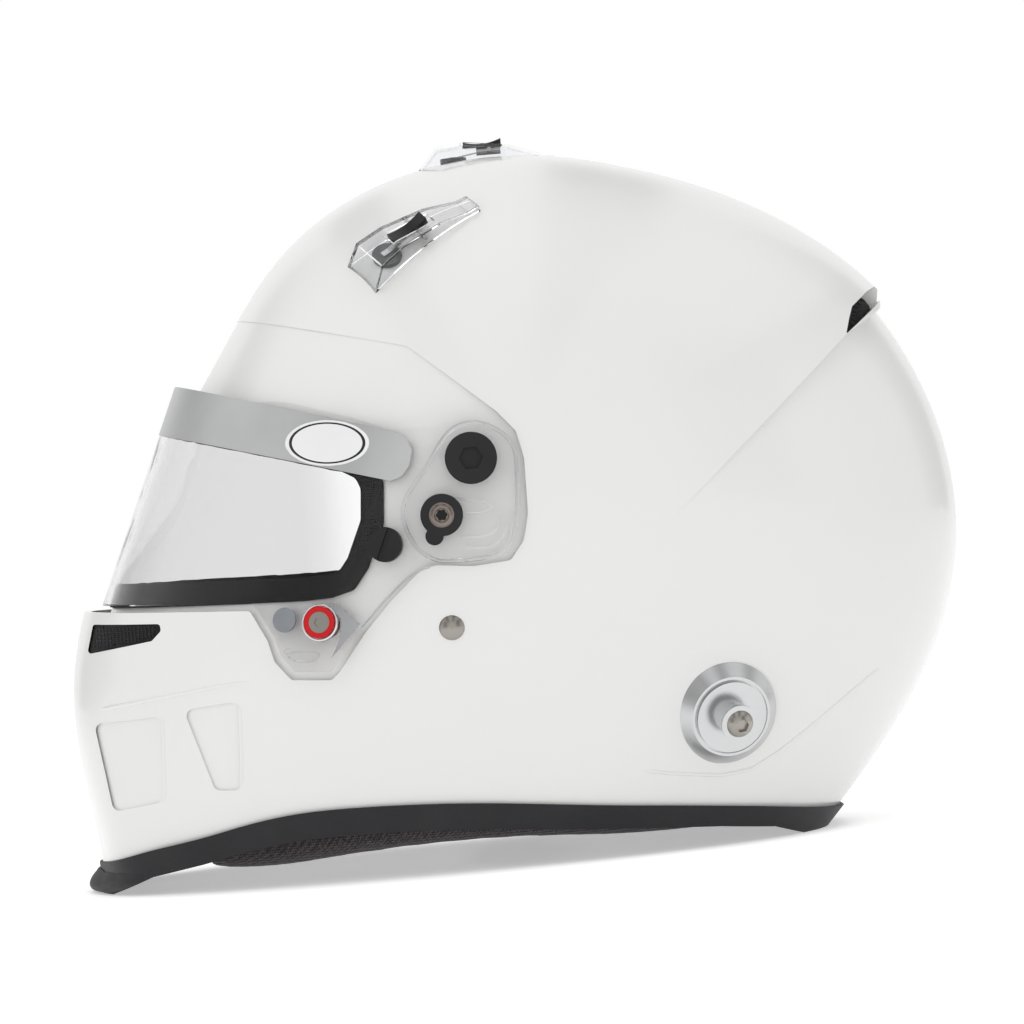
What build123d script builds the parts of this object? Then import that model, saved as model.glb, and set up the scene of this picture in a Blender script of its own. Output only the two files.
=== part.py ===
from build123d import *
import math
import os

os.makedirs("parts", exist_ok=True)

# Frame: the wearer faces -Y, the wearer's left is +X, and the helmet stands on z = 0.

# Overall sizes of the shell
helmet_length = 356.0
helmet_height = 275.0
half_width = 120.5
shell_wall = 3.0
sweep_step = 0.4
trim_skin = 1.3
trim_lip = 1.5
overrun = 60.0
fit_gap = 0.3
pin_gap = 0.05
seat_gap = 0.15
halvings = 60

# Places on the side view: shares of the length from the pivots, of the height from them
pivot_y_share, pivot_z_share = -0.0292, 0.5673
pivot_y = pivot_y_share * helmet_length
pivot_z = pivot_z_share * helmet_height
aspect_share = 0.7725

# Direction round the pivots in degrees, reach, fullness, swell of the sides, rise of the cap
head_shares = (
    (0, 0.5160, 2.20, 0.020, 0.045), (12, 0.4860, 2.20, 0.020, 0.045),
    (20, 0.4650, 2.16, 0.020, 0.040), (28, 0.4415, 2.14, 0.020, 0.024),
    (37, 0.4135, 2.12, 0.020, 0.012), (52, 0.3780, 2.08, 0.019, 0.004),
    (67, 0.3548, 2.04, 0.017, -0.008), (80, 0.3400, 2.02, 0.013, -0.020),
    (95, 0.3300, 2.00, 0.008, -0.030), (112, 0.3166, 2.00, 0.002, -0.030),
    (131, 0.3112, 2.00, 0.000, 0.000), (152, 0.3152, 2.02, 0.000, 0.000),
    (166, 0.3225, 2.06, 0.000, 0.000), (180, 0.3800, 2.10, 0.000, 0.000),
    (191, 0.4370, 2.12, 0.004, 0.000), (197, 0.4700, 2.12, 0.010, 0.000),
    (202, 0.5040, 2.12, 0.015, 0.000), (208, 0.5280, 2.14, 0.018, 0.000),
    (215, 0.5620, 2.18, 0.020, 0.000), (219, 0.5880, 2.22, 0.020, 0.000),
    (223, 0.6230, 2.26, 0.020, 0.000), (230, 0.6380, 2.30, 0.020, 0.000),
    (240, 0.6480, 2.34, 0.020, 0.000), (255, 0.6600, 2.40, 0.020, 0.000),
    (272, 0.6600, 2.42, 0.020, 0.000), (285, 0.6300, 2.40, 0.020, 0.000),
    (296, 0.5960, 2.36, 0.020, 0.000), (305, 0.5680, 2.32, 0.020, 0.004),
    (312, 0.5570, 2.30, 0.020, 0.010), (322, 0.5540, 2.28, 0.020, 0.020),
    (333, 0.5530, 2.26, 0.020, 0.032), (345, 0.5450, 2.24, 0.020, 0.040),
    (352, 0.5340, 2.22, 0.020, 0.044),
)

# The fan of arches that the form is lofted through, about a line below the rim
fan_y_share, fan_z_share = -0.055, -0.785
fan_start, fan_end, fan_count, arch_count = 14.0, 166.0, 17, 6
fan_root_share = 0.017


def blend(direction, column):
    """Reads a column of head_shares between its directions."""
    turn = direction % 360
    rows = len(head_shares)
    i = max(k for k in range(rows) if head_shares[k][0] <= turn)
    a1, v1 = head_shares[i][0], head_shares[i][column]
    a0 = head_shares[i - 1][0] - (360 if i == 0 else 0)
    a2 = head_shares[(i + 1) % rows][0] + (360 if i + 1 >= rows else 0)
    a3 = head_shares[(i + 2) % rows][0] + (360 if i + 2 >= rows else 0)
    v0 = head_shares[i - 1][column]
    v2 = head_shares[(i + 1) % rows][column]
    v3 = head_shares[(i + 2) % rows][column]
    rise, fall = (v2 - v0) / (a2 - a0), (v3 - v1) / (a3 - a1)
    step = a2 - a1
    t = (turn - a1) / step
    return (
        (2 * t**3 - 3 * t**2 + 1) * v1 + (t**3 - 2 * t**2 + t) * step * rise
        + (3 * t**2 - 2 * t**3) * v2 + (t**3 - t**2) * step * fall
    )


def skin(y, z, swell=1, cap=0):
    """Half width of the shell's skin at a place of the side view, 0 outside it."""
    dy, dz = y - pivot_y, (z - pivot_z) * aspect_share * helmet_length / helmet_height
    turn = math.degrees(math.atan2(dz, dy))
    reach = helmet_length * blend(turn, 1) * (1 + cap * blend(turn, 4))
    power = blend(turn, 2)
    left = 1 - (math.hypot(dy, dz) / reach) ** power
    wide = half_width * (1 + swell * blend(turn, 3))
    return wide * left ** (1 / power) if left > 0 else 0


def head_form(swell, cap):
    """The closed form of the head, a loft through a fan of arches."""
    fan_y = pivot_y + fan_y_share * helmet_length
    fan_z = pivot_z + fan_z_share * helmet_height
    root = fan_root_share * helmet_length
    with BuildPart(mode=Mode.PRIVATE) as form:
        for i in range(fan_count):
            angle = math.radians(fan_start + (fan_end - fan_start) * i / (fan_count - 1))
            c, s = math.cos(angle), math.sin(angle)
            near, far = root, 2 * helmet_length
            for _ in range(halvings):
                mid = (near + far) / 2
                if skin(fan_y + mid * c, fan_z + mid * s, swell, cap) > 0:
                    near = mid
                else:
                    far = mid
            half = []
            for k in range(arch_count):
                out = root + (near - root) * math.sin(k / arch_count * math.pi / 2)
                half.append((skin(fan_y + out * c, fan_z + out * s, swell, cap), out))
            arch = half + [(0, near)] + [(-x, out) for x, out in reversed(half)]
            with BuildSketch(Plane((0, fan_y, fan_z), x_dir=(1, 0, 0), z_dir=(0, -s, c))):
                with BuildLine():
                    Spline(*arch)
                    Line(arch[-1], arch[0])
                make_face()
        loft()
    return form.part


def inner_skin(y, z, inset):
    """Half width of the low form drawn in by an inset, at a place of the side view."""
    wide, deep, tall = half_width, helmet_length / 2, helmet_height - pivot_z
    y, z = y * deep / (deep - inset), pivot_z + (z - pivot_z) * tall / (tall - inset)
    return skin(y, z, 0) * (wide - inset) / wide


def shrunk(body, inset):
    """The form drawn in by an inset on every side, about the pivots' height."""
    wide, deep, tall = half_width, helmet_length / 2, helmet_height - pivot_z
    by = ((wide - inset) / wide, (deep - inset) / deep, (tall - inset) / tall)
    return scale(body, by=by, about=(0, 0, pivot_z))


def spot(place):
    """A place of the side view from its shares."""
    return (pivot_y + place[0] * helmet_length, pivot_z + place[1] * helmet_height)


def prism(shares, corner, grow=0, reach=0):
    """A side-view outline run through the whole width, or from reach outwards."""
    with BuildPart(mode=Mode.PRIVATE) as body:
        with BuildSketch(Plane.YZ) as face:
            Polygon(*[spot(p) for p in shares], align=None)
            if grow:
                offset(amount=grow, kind=Kind.INTERSECTION)
            if corner:
                fillet(face.vertices(), radius=corner)
        extrude(amount=half_width + overrun, both=True)
        if reach:
            Box(2 * reach, 2 * helmet_length, 2 * helmet_height, mode=Mode.SUBTRACT)
    return body.part


# Visor: an arched sheet about a tilted line through the pivots
visor_tilt = 23.9
visor_wall = 2.4
ear_gap = 1.5
visor_reach = 118.6
under_gap = 1.6
ear_inner = half_width + ear_gap
ear_outer = ear_inner + visor_wall
tilt_c, tilt_s = math.cos(math.radians(visor_tilt)), math.sin(math.radians(visor_tilt))
visor_shares = (
    (-0.3403, 0.1467), (-0.3226, 0.1446), (-0.0823, 0.0497), (-0.0235, 0.0548),
    (0.0072, 0.0552), (0.0275, 0.0445), (0.0444, 0.0288), (0.0504, 0.0089),
    (0.0502, -0.0663), (0.0474, -0.1056), (0.0354, -0.1260), (0.0144, -0.1386),
    (-0.0110, -0.1396), (-0.0516, -0.1306), (-0.0666, -0.1343), (-0.1046, -0.1763),
    (-0.1326, -0.2127), (-0.1617, -0.2640), (-0.1677, -0.2729), (-0.2058, -0.2687),
    (-0.2193, -0.2454), (-0.2251, -0.2188), (-0.2448, -0.1714), (-0.4260, -0.1576),
    (-0.4460, -0.1552),
)
visor_corner = 2.0


def arched(outer):
    """All that lies inside the visor's arch, grown by an amount from its inner face."""
    plane = Plane((0, pivot_y, pivot_z), x_dir=(1, 0, 0), z_dir=(0, -tilt_s, -tilt_c))
    a, b = ear_inner + outer, visor_reach + outer
    with BuildPart(mode=Mode.PRIVATE) as core:
        with BuildSketch(plane):
            with BuildLine():
                EllipticalCenterArc((0, 0), a, b, 0, arc_size=180)
                Polyline((-a, 0), (-a, -helmet_length), (a, -helmet_length), (a, 0))
            make_face()
        extrude(amount=helmet_height, both=True)
    return core.part


def visor_seat(y_share, z_share):
    """A plane on the visor's outer face, its normal outwards on the left side."""
    y, z = spot((y_share, z_share))
    dy, dz = y - pivot_y, z - pivot_z
    q = dz * tilt_s - dy * tilt_c
    a, b = ear_outer, visor_reach + visor_wall
    x = a * math.sqrt(1 - (q / b) ** 2) if q > 0 else a
    lean = q / b**2 if q > 0 else 0
    normal = Vector(x / a**2, -lean * tilt_c, lean * tilt_s).normalized()
    along = Vector(0, tilt_s, tilt_c)
    return Plane((x, y, z), x_dir=along, z_dir=normal)


outer_form = head_form(1, 0)
cap_form = scale(
    head_form(1, 1), by=((half_width - sweep_step) / half_width, 1, 1), about=(0, 0, 0)
)
low_form = shrunk(head_form(0, 0), sweep_step)

# Eyeport, rim and cap outlines on the side view
port_shares = (
    (-0.3663, 0.0977), (-0.3307, 0.0934), (-0.1331, 0.0122), (-0.1138, -0.0026),
    (-0.1069, -0.0254), (-0.1103, -0.0744), (-0.1291, -0.1284), (-0.1424, -0.1502),
    (-0.1610, -0.1563), (-0.1868, -0.1574), (-0.2472, -0.1547), (-0.4116, -0.1448),
    (-0.5200, -0.1380), (-0.5200, 0.1100),
)
port_corner = 4.0
pocket_shares = (
    (-0.0568, 0.1617), (0.0004, 0.0962), (0.0308, 0.0609), (0.0498, 0.0311),
    (0.0556, -0.0066), (0.0545, -0.0818), (0.0476, -0.1180), (0.0320, -0.1436),
    (-0.0074, -0.1471), (-0.0472, -0.1409), (-0.0646, -0.1471), (-0.0992, -0.1855),
    (-0.1275, -0.2234), (-0.1591, -0.2749), (-0.1683, -0.2849), (-0.2109, -0.2801),
    (-0.2272, -0.2535), (-0.2326, -0.2239), (-0.2490, -0.1807), (-0.4299, -0.1658),
    (-0.5600, -0.1560), (-0.5600, 0.2100), (-0.2743, 0.2403),
)
pocket_corner = 2.0
flange_wide = 11.0
flange_wall = 4.0
rim_top_shares = (
    (-0.5600, -0.5270), (-0.4580, -0.5250), (-0.3872, -0.5042), (-0.3286, -0.4901),
    (-0.2719, -0.4748), (-0.2165, -0.4650), (-0.1627, -0.4632), (-0.1093, -0.4650),
    (-0.0245, -0.4721), (0.1021, -0.4909), (0.2303, -0.5106), (0.2961, -0.5230),
    (0.3369, -0.5324), (0.4400, -0.5520),
)
rim_foot_shares = (
    (-0.5600, 0), (-0.4370, 0), (-0.3850, 0.0262), (-0.3286, 0.0400), (-0.2719, 0.0555),
    (-0.2165, 0.0650), (-0.1627, 0.0665), (-0.1093, 0.0655), (-0.0245, 0.0590),
    (0.1021, 0.0430), (0.2303, 0.0275), (0.2900, 0.0165), (0.3230, 0), (0.4400, 0),
)


def rim_band(above, below):
    """The rim's band on the side view, run through the whole width."""
    top = [(y, z + above) for y, z in (spot(p) for p in rim_top_shares)]
    foot = [(pivot_y + a * helmet_length, b * helmet_height - below) for a, b in rim_foot_shares]
    with BuildPart(mode=Mode.PRIVATE) as body:
        with BuildSketch(Plane.YZ):
            with BuildLine():
                Spline(*top)
                Line(top[-1], foot[-1])
                Polyline(*reversed(foot))
                Line(foot[0], top[0])
            make_face()
        extrude(amount=half_width + overrun, both=True)
    return body.part


def below_rim(lift):
    """Everything under the rim's foot raised by a lift."""
    foot = [(pivot_y + a * helmet_length, b * helmet_height + lift) for a, b in rim_foot_shares]
    deep = -2 * overrun
    with BuildPart(mode=Mode.PRIVATE) as body:
        with BuildSketch(Plane.YZ):
            with BuildLine():
                Polyline(*foot, (foot[-1][0], deep), (foot[0][0], deep), foot[0])
            make_face()
        extrude(amount=half_width + overrun, both=True)
    return body.part


cap_shares = (
    (0.1335, 0.5600), (0.3600, 0.4600), (0.4700, 0.2800), (0.4640, 0.1924),
    (0.4603, 0.1608), (0.4145, 0.1255), (0.2265, -0.0846), (0.1227, -0.1958),
    (0.0835, -0.1498),
)
exhaust_shares = (
    (0.4700, 0.2020), (0.4474, 0.1870), (0.4260, 0.1652), (0.4204, 0.1481),
    (0.4145, 0.1255), (0.4295, 0.1400), (0.4540, 0.1640), (0.4700, 0.1830),
)
exhaust_inner, exhaust_corner = 13.0, 0.3
mesh_set = 1.0
mesh_wall = 1.2
chin_vent_shares = (
    (-0.4300, -0.1824), (-0.4400, -0.2239), (-0.3602, -0.2109), (-0.3490, -0.1980),
    (-0.3495, -0.1882),
)
chin_vent_inner, chin_vent_corner = 30.0, 1.3
facet_deep = 1.0
facet_corner = 3.0
facet_inner = 40.0
front_facet_shares = (
    (-0.4380, -0.3222), (-0.3565, -0.3158), (-0.3643, -0.4349), (-0.4233, -0.4468),
)
side_facet_shares = ((-0.3313, -0.3096), (-0.2701, -0.3029), (-0.2766, -0.4265), (-0.3050, -0.4239))

# Pivots: a boss on the shell, a shouldered screw and a nut inside
boss_radius = 8.6
boss_gap = 0.6
shoulder_radius = 7.0
pivot_bolt = 3.0
pivot_head_radius = 9.8
pivot_head_tall = 2.9
pivot_socket_radius = 4.6
nut_radius = 7.0
nut_wall = 4.0
boss_top = ear_inner - boss_gap

# Anchor posts for the frontal restraint, on tilted cones
anchor_y_share, anchor_z_share = 0.2460, -0.3818
anchor_back, anchor_down = 17.0, 17.0
cone_radius, cone_top_radius, cone_tall = 20.0, 15.6, 5.0
disc_radius, disc_tall = 13.8, 1.0
ring_gap = 0.8
post_radius, post_long = 6.0, 7.2
post_head_radius, post_head_tall = 7.2, 1.4
anchor_bolt, anchor_deep, anchor_inset = 3.0, 13.0, 6.0
button_radius, button_tall = 5.25, 3.3
anchor_nut_radius, anchor_nut_wall = 8.0, 3.0

# Strap rivets
rivet_y_share, rivet_z_share = -0.0365, -0.2273
rivet_radius, rivet_tall, rivet_shank = 4.9, 2.2, 2.0
rivet_inner_wall = 1.2

# Lock on the visor's left side
lock_y_share, lock_z_share = -0.1736, -0.2051
lock_ring_radius, lock_ring_tall = 7.0, 1.6
button_cap_radius, button_rise = 6.0, 1.0
stem_radius, stem_flange_radius, stem_flange_wall = 2.5, 3.4, 0.7
lock_travel = 1.4
lock_recess = 1.5
catch_radius, catch_bore = 5.5, 4.0
button_screw_radius, button_screw_wall = 4.0, 1.2

# Top vents: a tapered scoop over a hole in the crown, measured along, across and up
vent_long, vent_wide, vent_tail_wide, vent_wall = 55.0, 23.0, 9.0, 1.2
vent_tall, vent_sink = 6.4, 8.0
vent_hole_radius, vent_bore_deep = 4.2, 12.0
vent_profile_shares = (
    (-0.500, -0.60), (-0.355, 0.83), (-0.155, 1.00), (0.165, 0.66), (0.400, -0.06),
    (0.485, -0.12),
)
vent_y_share = 0.0462
side_vent_y_share, side_vent_z_share = -0.0382, 0.3150
side_vent_rise_share, side_vent_toe_share = 0.4280, -0.2080
axle_x, axle_z, axle_radius = 1.2, 3.0, 0.9
barrel_radius, barrel_front, barrel_back = 1.8, -4.0, 5.6
leaf_wall, leaf_wide = 0.5, 3.0
thumb_wide, thumb_front, thumb_back = 5.5, -9.3, 6.0
thumb_low, thumb_dip, thumb_front_z, thumb_back_z = 4.4, 5.6, 6.6, 7.3
slot_wide, slot_front, slot_back = 7.0, -10.6, 8.6
flap_x, flap_long, flap_wide, flap_top = -13.4, 10.4, 13.5, 0.8


def on_side(plane):
    """The same seat on the wearer's right."""
    o, x, z = plane.origin, plane.x_dir, plane.z_dir
    return Plane((-o.X, o.Y, o.Z), x_dir=(-x.X, x.Y, x.Z), z_dir=(-z.X, z.Y, z.Z))


def skin_seat(y_share, z_share, swell=1):
    """A plane on the shell's skin, left side, its normal outwards."""
    y, z = spot((y_share, z_share))
    step = fit_gap
    x = skin(y, z, swell)
    sy = (skin(y + step, z, swell) - skin(y - step, z, swell)) / (2 * step)
    sz = (skin(y, z + step, swell) - skin(y, z - step, swell)) / (2 * step)
    normal = Vector(1, -sy, -sz).normalized()
    along = (Vector(0, 1, 0) - normal * normal.Y).normalized()
    return Plane((x, y, z), x_dir=along, z_dir=normal)


lock_seat = visor_seat(lock_y_share, lock_z_share)
anchor_spot = skin_seat(anchor_y_share, anchor_z_share)
anchor_normal = Vector(
    1, math.tan(math.radians(anchor_back)), -math.tan(math.radians(anchor_down))
).normalized()
anchor_seat = Plane(anchor_spot.origin, x_dir=(0, 1, 0), z_dir=anchor_normal)
rivet_spot = skin_seat(rivet_y_share, rivet_z_share)
rivet_seat = Plane(rivet_spot.origin, x_dir=(0, 1, 0), z_dir=(1, 0, 0))


def crown_spot(y_share):
    """A plane on the top of the mid-plane's skin, its x to the back."""
    y = pivot_y + y_share * helmet_length
    heights = []
    for place in (y - fit_gap, y, y + fit_gap):
        low, high = pivot_z, pivot_z + helmet_height
        for _ in range(halvings):
            mid = (low + high) / 2
            low, high = (mid, high) if skin(place, mid) > 0 else (low, mid)
        heights.append(low)
    along = Vector(0, 2 * fit_gap, heights[2] - heights[0]).normalized()
    return Plane((0, y, heights[1]), x_dir=along, z_dir=Vector(1, 0, 0).cross(along))


vent_seat = crown_spot(vent_y_share)
side_spot = skin_seat(side_vent_y_share, side_vent_z_share)
side_toe = Vector(side_vent_toe_share, 1 - side_vent_rise_share / 2, side_vent_rise_share)
side_toe = (side_toe - side_spot.z_dir * side_toe.dot(side_spot.z_dir)).normalized()
side_vent_seat = Plane(side_spot.origin, x_dir=side_toe, z_dir=side_spot.z_dir)


def shifted(seat, x, y):
    """The seat moved in its own plane."""
    return Plane(seat.from_local_coords((x, y, 0)), x_dir=seat.x_dir, z_dir=seat.z_dir)


def disc(seat, radius, low, high):
    """A cylinder on a seat between two heights."""
    with BuildPart(mode=Mode.PRIVATE) as rod:
        with Locations(seat.offset((low + high) / 2).location):
            Cylinder(radius, high - low)
    return rod.part


# Liners: gaps and depths from the shell's skin inwards
liner_set = shell_wall + fit_gap
foam_deep = 32.0
comfort_deep = 8.0
chin_foam_deep = 19.0
port_margin = 10.0
foam_shares = (
    (-0.6000, 0.1750), (-0.3300, 0.1500), (-0.1200, 0.0750), (-0.0650, 0.0200),
    (-0.0600, -0.1000), (0.0500, -0.1500), (0.0700, -0.3400), (0.3200, -0.3800),
    (0.6000, -0.3900), (0.6000, 0.6000), (-0.6000, 0.6000),
)
comfort_shares = (
    (-0.6000, 0.2100), (-0.3000, 0.1800), (-0.1000, 0.1200), (-0.0300, 0.0400),
    (0.0200, -0.1000), (0.0900, -0.1700), (0.1100, -0.3100), (0.3200, -0.3500),
    (0.6000, -0.3500), (0.6000, 0.6000), (-0.6000, 0.6000),
)
chin_foam_shares = (
    (-0.6000, -0.4900), (-0.3750, -0.4700), (-0.3550, -0.3300), (-0.3650, -0.2150),
    (-0.6000, -0.2000),
)
pad_outer_x, pad_mid_x, pad_inner_x = 116.0, 80.0, 64.0
strap_room = 4.6
strap_inset = 2.6
pad_set = shell_wall + strap_room
pad_shares = (
    (-0.3250, -0.3850), (-0.3300, -0.2350), (-0.1700, -0.2150), (-0.1050, -0.1900),
    (-0.0500, -0.1750), (0.0250, -0.1900), (0.0420, -0.3500), (-0.0600, -0.4050),
    (-0.2000, -0.4200),
)
pad_corner, pad_draw = 12.0, 5.0
roll_wide, roll_tall, roll_gap = 9.0, 12.0, 1.6
roll_set = sweep_step + shell_wall + trim_skin + roll_gap
roll_centre_y = -20.0
roll_shares = (
    (148, 0.0745), (138, 0.0690), (122, 0.0765), (104, 0.0820), (78, 0.0800), (55, 0.0700),
    (38, 0.0670), (25, 0.0655), (12, 0.0655), (0, 0.0655),
)

strap_wide, strap_wall = 25.0, 1.6
ring_wire, ring_bar, ring_deep, ring_rise = 1.6, 29.0, 19.0, 4.2
buckle_x, buckle_z = 38.0, 20.5
wall_height_shares = (0.2182, 0.1636)
rivet_y, rivet_z = rivet_seat.origin.Y, rivet_seat.origin.Z
wall_heights = [rivet_z + strap_wide / 4, rivet_z - strap_wide]
wall_heights += [share * helmet_height for share in wall_height_shares]


def strap_x(z):
    """How far out the strap lies at a height, inside the shell over its whole width."""
    edges = (rivet_y - strap_wide / 2, rivet_y, rivet_y + strap_wide / 2)
    return min(inner_skin(y, z, shell_wall + strap_inset) for y in edges)


# The rivet reaches through the strap, down to the inner face under its head
strap_lean = (strap_x(wall_heights[0]) - strap_x(wall_heights[1])) / (wall_heights[0] - wall_heights[1])
head_foot_x = strap_x(wall_heights[0]) - strap_lean * (wall_heights[0] - rivet_z + rivet_radius)
rivet_deep = rivet_seat.origin.X - head_foot_x + strap_wall / 2 + seat_gap

# Shell: the head form with the visor's sweep let in, the cap raised and the flange kept
pocket = prism(pocket_shares, pocket_corner)
port = prism(port_shares, port_corner)
inside_visor = arched(-under_gap)
inner_form = shrunk(low_form, shell_wall)
pan = ((low_form & pocket) & inside_visor) - port
crown = (outer_form - pocket) + pan
crown = crown + (cap_form & prism(cap_shares, port_corner))
ledge = inside_visor - arched(-under_gap - flange_wall)
ledge = prism(port_shares, port_corner, flange_wide) & ledge
cavity = inner_form - ledge
crown = crown - cavity
crown = crown - below_rim(trim_lip)

pivot_seat = Plane((boss_top, pivot_y, pivot_z), x_dir=(0, 1, 0), z_dir=(1, 0, 0))
exhaust_cut = prism(exhaust_shares, exhaust_corner, 0, exhaust_inner)
chin_vent_cut = prism(chin_vent_shares, chin_vent_corner, 0, chin_vent_inner)
left_bores = (
    (pivot_seat, pivot_bolt + pin_gap), (rivet_seat, rivet_shank + pin_gap),
    (anchor_seat, anchor_bolt + pin_gap), (shifted(side_vent_seat, flap_x, 0), vent_hole_radius),
)
shell_bores = [disc(seat, r, -vent_bore_deep, vent_bore_deep) for seat, r in left_bores]
shell_bores += [disc(on_side(seat), r, -vent_bore_deep, vent_bore_deep) for seat, r in left_bores]
vent_hole_seat = shifted(vent_seat, flap_x, 0)
shell_bores.append(disc(vent_hole_seat, vent_hole_radius, -vent_bore_deep, vent_bore_deep))
shell_bores.append(disc(lock_seat, catch_radius + pin_gap, -2 * vent_bore_deep, 0))
bosses = [
    disc(seat, boss_radius, -shell_wall - ear_gap, 0) for seat in (pivot_seat, on_side(pivot_seat))
]

facet_core = shrunk(outer_form, facet_deep)
facets = [
    prism(shares, facet_corner, 0, inner) - facet_core
    for shares, inner in ((front_facet_shares, chin_vent_inner), (side_facet_shares, facet_inner))
]

with BuildPart() as shell:
    add(crown)
    add(bosses)
    add([exhaust_cut, chin_vent_cut], mode=Mode.SUBTRACT)
    add(facets, mode=Mode.SUBTRACT)
    add(shell_bores, mode=Mode.SUBTRACT)
    shell.part.label = "shell"


def kept(node, name):
    """Names a node's solids and writes their file."""
    node.part.label = name
    export_step(node.part, "parts/" + name + ".step")
    solids = node.part.solids()
    print(name, len(solids), round(sum(solid.volume for solid in solids)), node.part.is_valid)


kept(shell, "shell")

# Rim trim: a channel over the shell's foot
trim_band = rim_band(0, 0)
foot_band = trim_band - below_rim(trim_lip)
trim_outer = (shrunk(outer_form, -trim_skin) & trim_band) - (
    shrunk(low_form, shell_wall + trim_skin) & trim_band
)
shell_foot = (outer_form & foot_band) - (inner_form & foot_band)
with BuildPart() as rim_trim:
    add(trim_outer)
    add(shell_foot, mode=Mode.SUBTRACT)
kept(rim_trim, "rim_trim")

# Eyeport gasket: a channel over the flange's edge
gasket_out, gasket_in, gasket_skin = 4.6, 4.2, 1.0
gasket_zone = prism(port_shares, port_corner, gasket_out)
gasket_band = arched(gasket_skin - under_gap) - arched(-under_gap - flange_wall - gasket_skin)
gasket_band = gasket_band & gasket_zone
gasket_band = gasket_band - prism(port_shares, port_corner, -gasket_in)
flange_edge = (((low_form & gasket_zone) & inside_visor) - cavity) - port
with BuildPart() as eyeport_gasket:
    add(gasket_band)
    add(flange_edge, mode=Mode.SUBTRACT)
kept(eyeport_gasket, "eyeport_gasket")

# Foam, comfort liner, chin foam and pads inside the shell
port_clear = prism(port_shares, port_corner, port_margin)
foam_outer = shrunk(low_form, liner_set)
foam_body = (foam_outer & prism(foam_shares, port_corner)) - shrunk(low_form, liner_set + foam_deep)
nut_pocket = nut_radius + trim_skin
pocket_deep = shell_wall + ear_gap + nut_wall + trim_skin
with BuildPart() as impact_liner:
    add(foam_body)
    add(port_clear, mode=Mode.SUBTRACT)
    add([disc(seat, nut_pocket, -pocket_deep, 0) for seat in (pivot_seat, on_side(pivot_seat))],
        mode=Mode.SUBTRACT)
    anchor_pocket = anchor_nut_radius + trim_skin
    add([disc(seat, anchor_pocket, -2 * anchor_deep, 0)
         for seat in (anchor_seat, on_side(anchor_seat))], mode=Mode.SUBTRACT)
kept(impact_liner, "impact_liner")

comfort_body = shrunk(low_form, liner_set + foam_deep + fit_gap) & prism(comfort_shares, port_corner)
comfort_body = comfort_body - shrunk(low_form, liner_set + foam_deep + comfort_deep)
with BuildPart() as comfort_liner:
    add(comfort_body)
kept(comfort_liner, "comfort_liner")

chin_body = (foam_outer & prism(chin_foam_shares, port_corner)) - shrunk(
    low_form, liner_set + chin_foam_deep
)
with BuildPart() as chin_foam:
    add(chin_body)
kept(chin_foam, "chin_foam")

pad_room = shrunk(low_form, pad_set)
with BuildPart(mode=Mode.PRIVATE) as pad_block:
    for x, drawn in ((pad_outer_x, 0), (pad_mid_x, 0), (pad_inner_x, 1)):
        with BuildSketch(Plane.YZ.offset(x)) as layer:
            Polygon(*[spot(p) for p in pad_shares], align=None)
            if drawn:
                offset(amount=-pad_draw, kind=Kind.INTERSECTION)
            fillet(layer.vertices(), radius=pad_corner)
    loft(ruled=True)
with BuildPart() as cheek_pad_left:
    add(pad_block.part & pad_room)
    add(port_clear, mode=Mode.SUBTRACT)
    add(disc(rivet_seat, rivet_radius + trim_skin, -2 * rivet_deep, 0), mode=Mode.SUBTRACT)
kept(cheek_pad_left, "cheek_pad_left")
with BuildPart() as cheek_pad_right:
    add(mirror(cheek_pad_left.part, about=Plane.YZ))
kept(cheek_pad_right, "cheek_pad_right")

# Neck roll: a padded roll inside the rim, swept through places on both sides and the back
roll_turns = [math.radians(turn) for turn in range(-60, 61, 15)]


def wall_reach(turn, z):
    """How far the room inside the trim reaches from the roll's centre line."""
    near, far = 0, helmet_length
    for _ in range(halvings):
        mid = (near + far) / 2
        if inner_skin(roll_centre_y + mid * math.cos(turn), z, roll_set) > mid * math.sin(turn):
            near = mid
        else:
            far = mid
    return near


roll_half = []
for turn, height_share in roll_shares:
    z = height_share * helmet_height
    around = math.radians(turn)
    room = [
        wall_reach(around, z + roll_tall * math.sin(t)) - roll_wide * math.cos(t) for t in roll_turns
    ]
    out = min(room)
    roll_half.append((out * math.sin(around), roll_centre_y + out * math.cos(around), z))
roll_path = roll_half + [(-x, y, z) for x, y, z in reversed(roll_half[:-1])]
with BuildPart() as neck_roll:
    with BuildLine() as roll_line:
        Spline(*roll_path)
    with BuildSketch(Plane(roll_path[0], x_dir=(1, 0, 0), z_dir=roll_line.line % 0)):
        Ellipse(roll_wide, roll_tall)
    sweep()
kept(neck_roll, "neck_roll")

# Visor: the arched sheet, its raised pivot rings, lock ring and finger tab
cam_y_share, cam_z_share = -0.0360, -0.0738
post_y_share, post_z_share = -0.0975, -0.1073
marker_y_share, marker_z_share = -0.2118, -0.1971
tab_y_share, tab_z_share = -0.1969, -0.2491
pivot_ring_inner, pivot_ring_outer, pivot_ring_tall = 10.3, 11.6, 1.2
cam_shoulder, cam_radius, cam_tall, cam_bolt = 4.0, 8.0, 2.6, 2.5
cam_tab_radius, cam_tab_out = 3.4, 8.4
cam_head_radius, cam_head_wall = 4.7, 1.3
tail_radius, tail_wall = 3.6, 0.4
post_shank, tearoff_radius, tearoff_tall = 3.0, 6.6, 2.9
tearoff_slot, tearoff_slot_deep = 2.2, 1.1
tab_long, tab_high, tab_rise = 14.0, 4.4, 2.0
cam_seat = visor_seat(cam_y_share, cam_z_share)
tearoff_seat = visor_seat(post_y_share, post_z_share)
marker_seat = visor_seat(marker_y_share, marker_z_share)
tab_seat = visor_seat(tab_y_share, tab_z_share)
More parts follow.
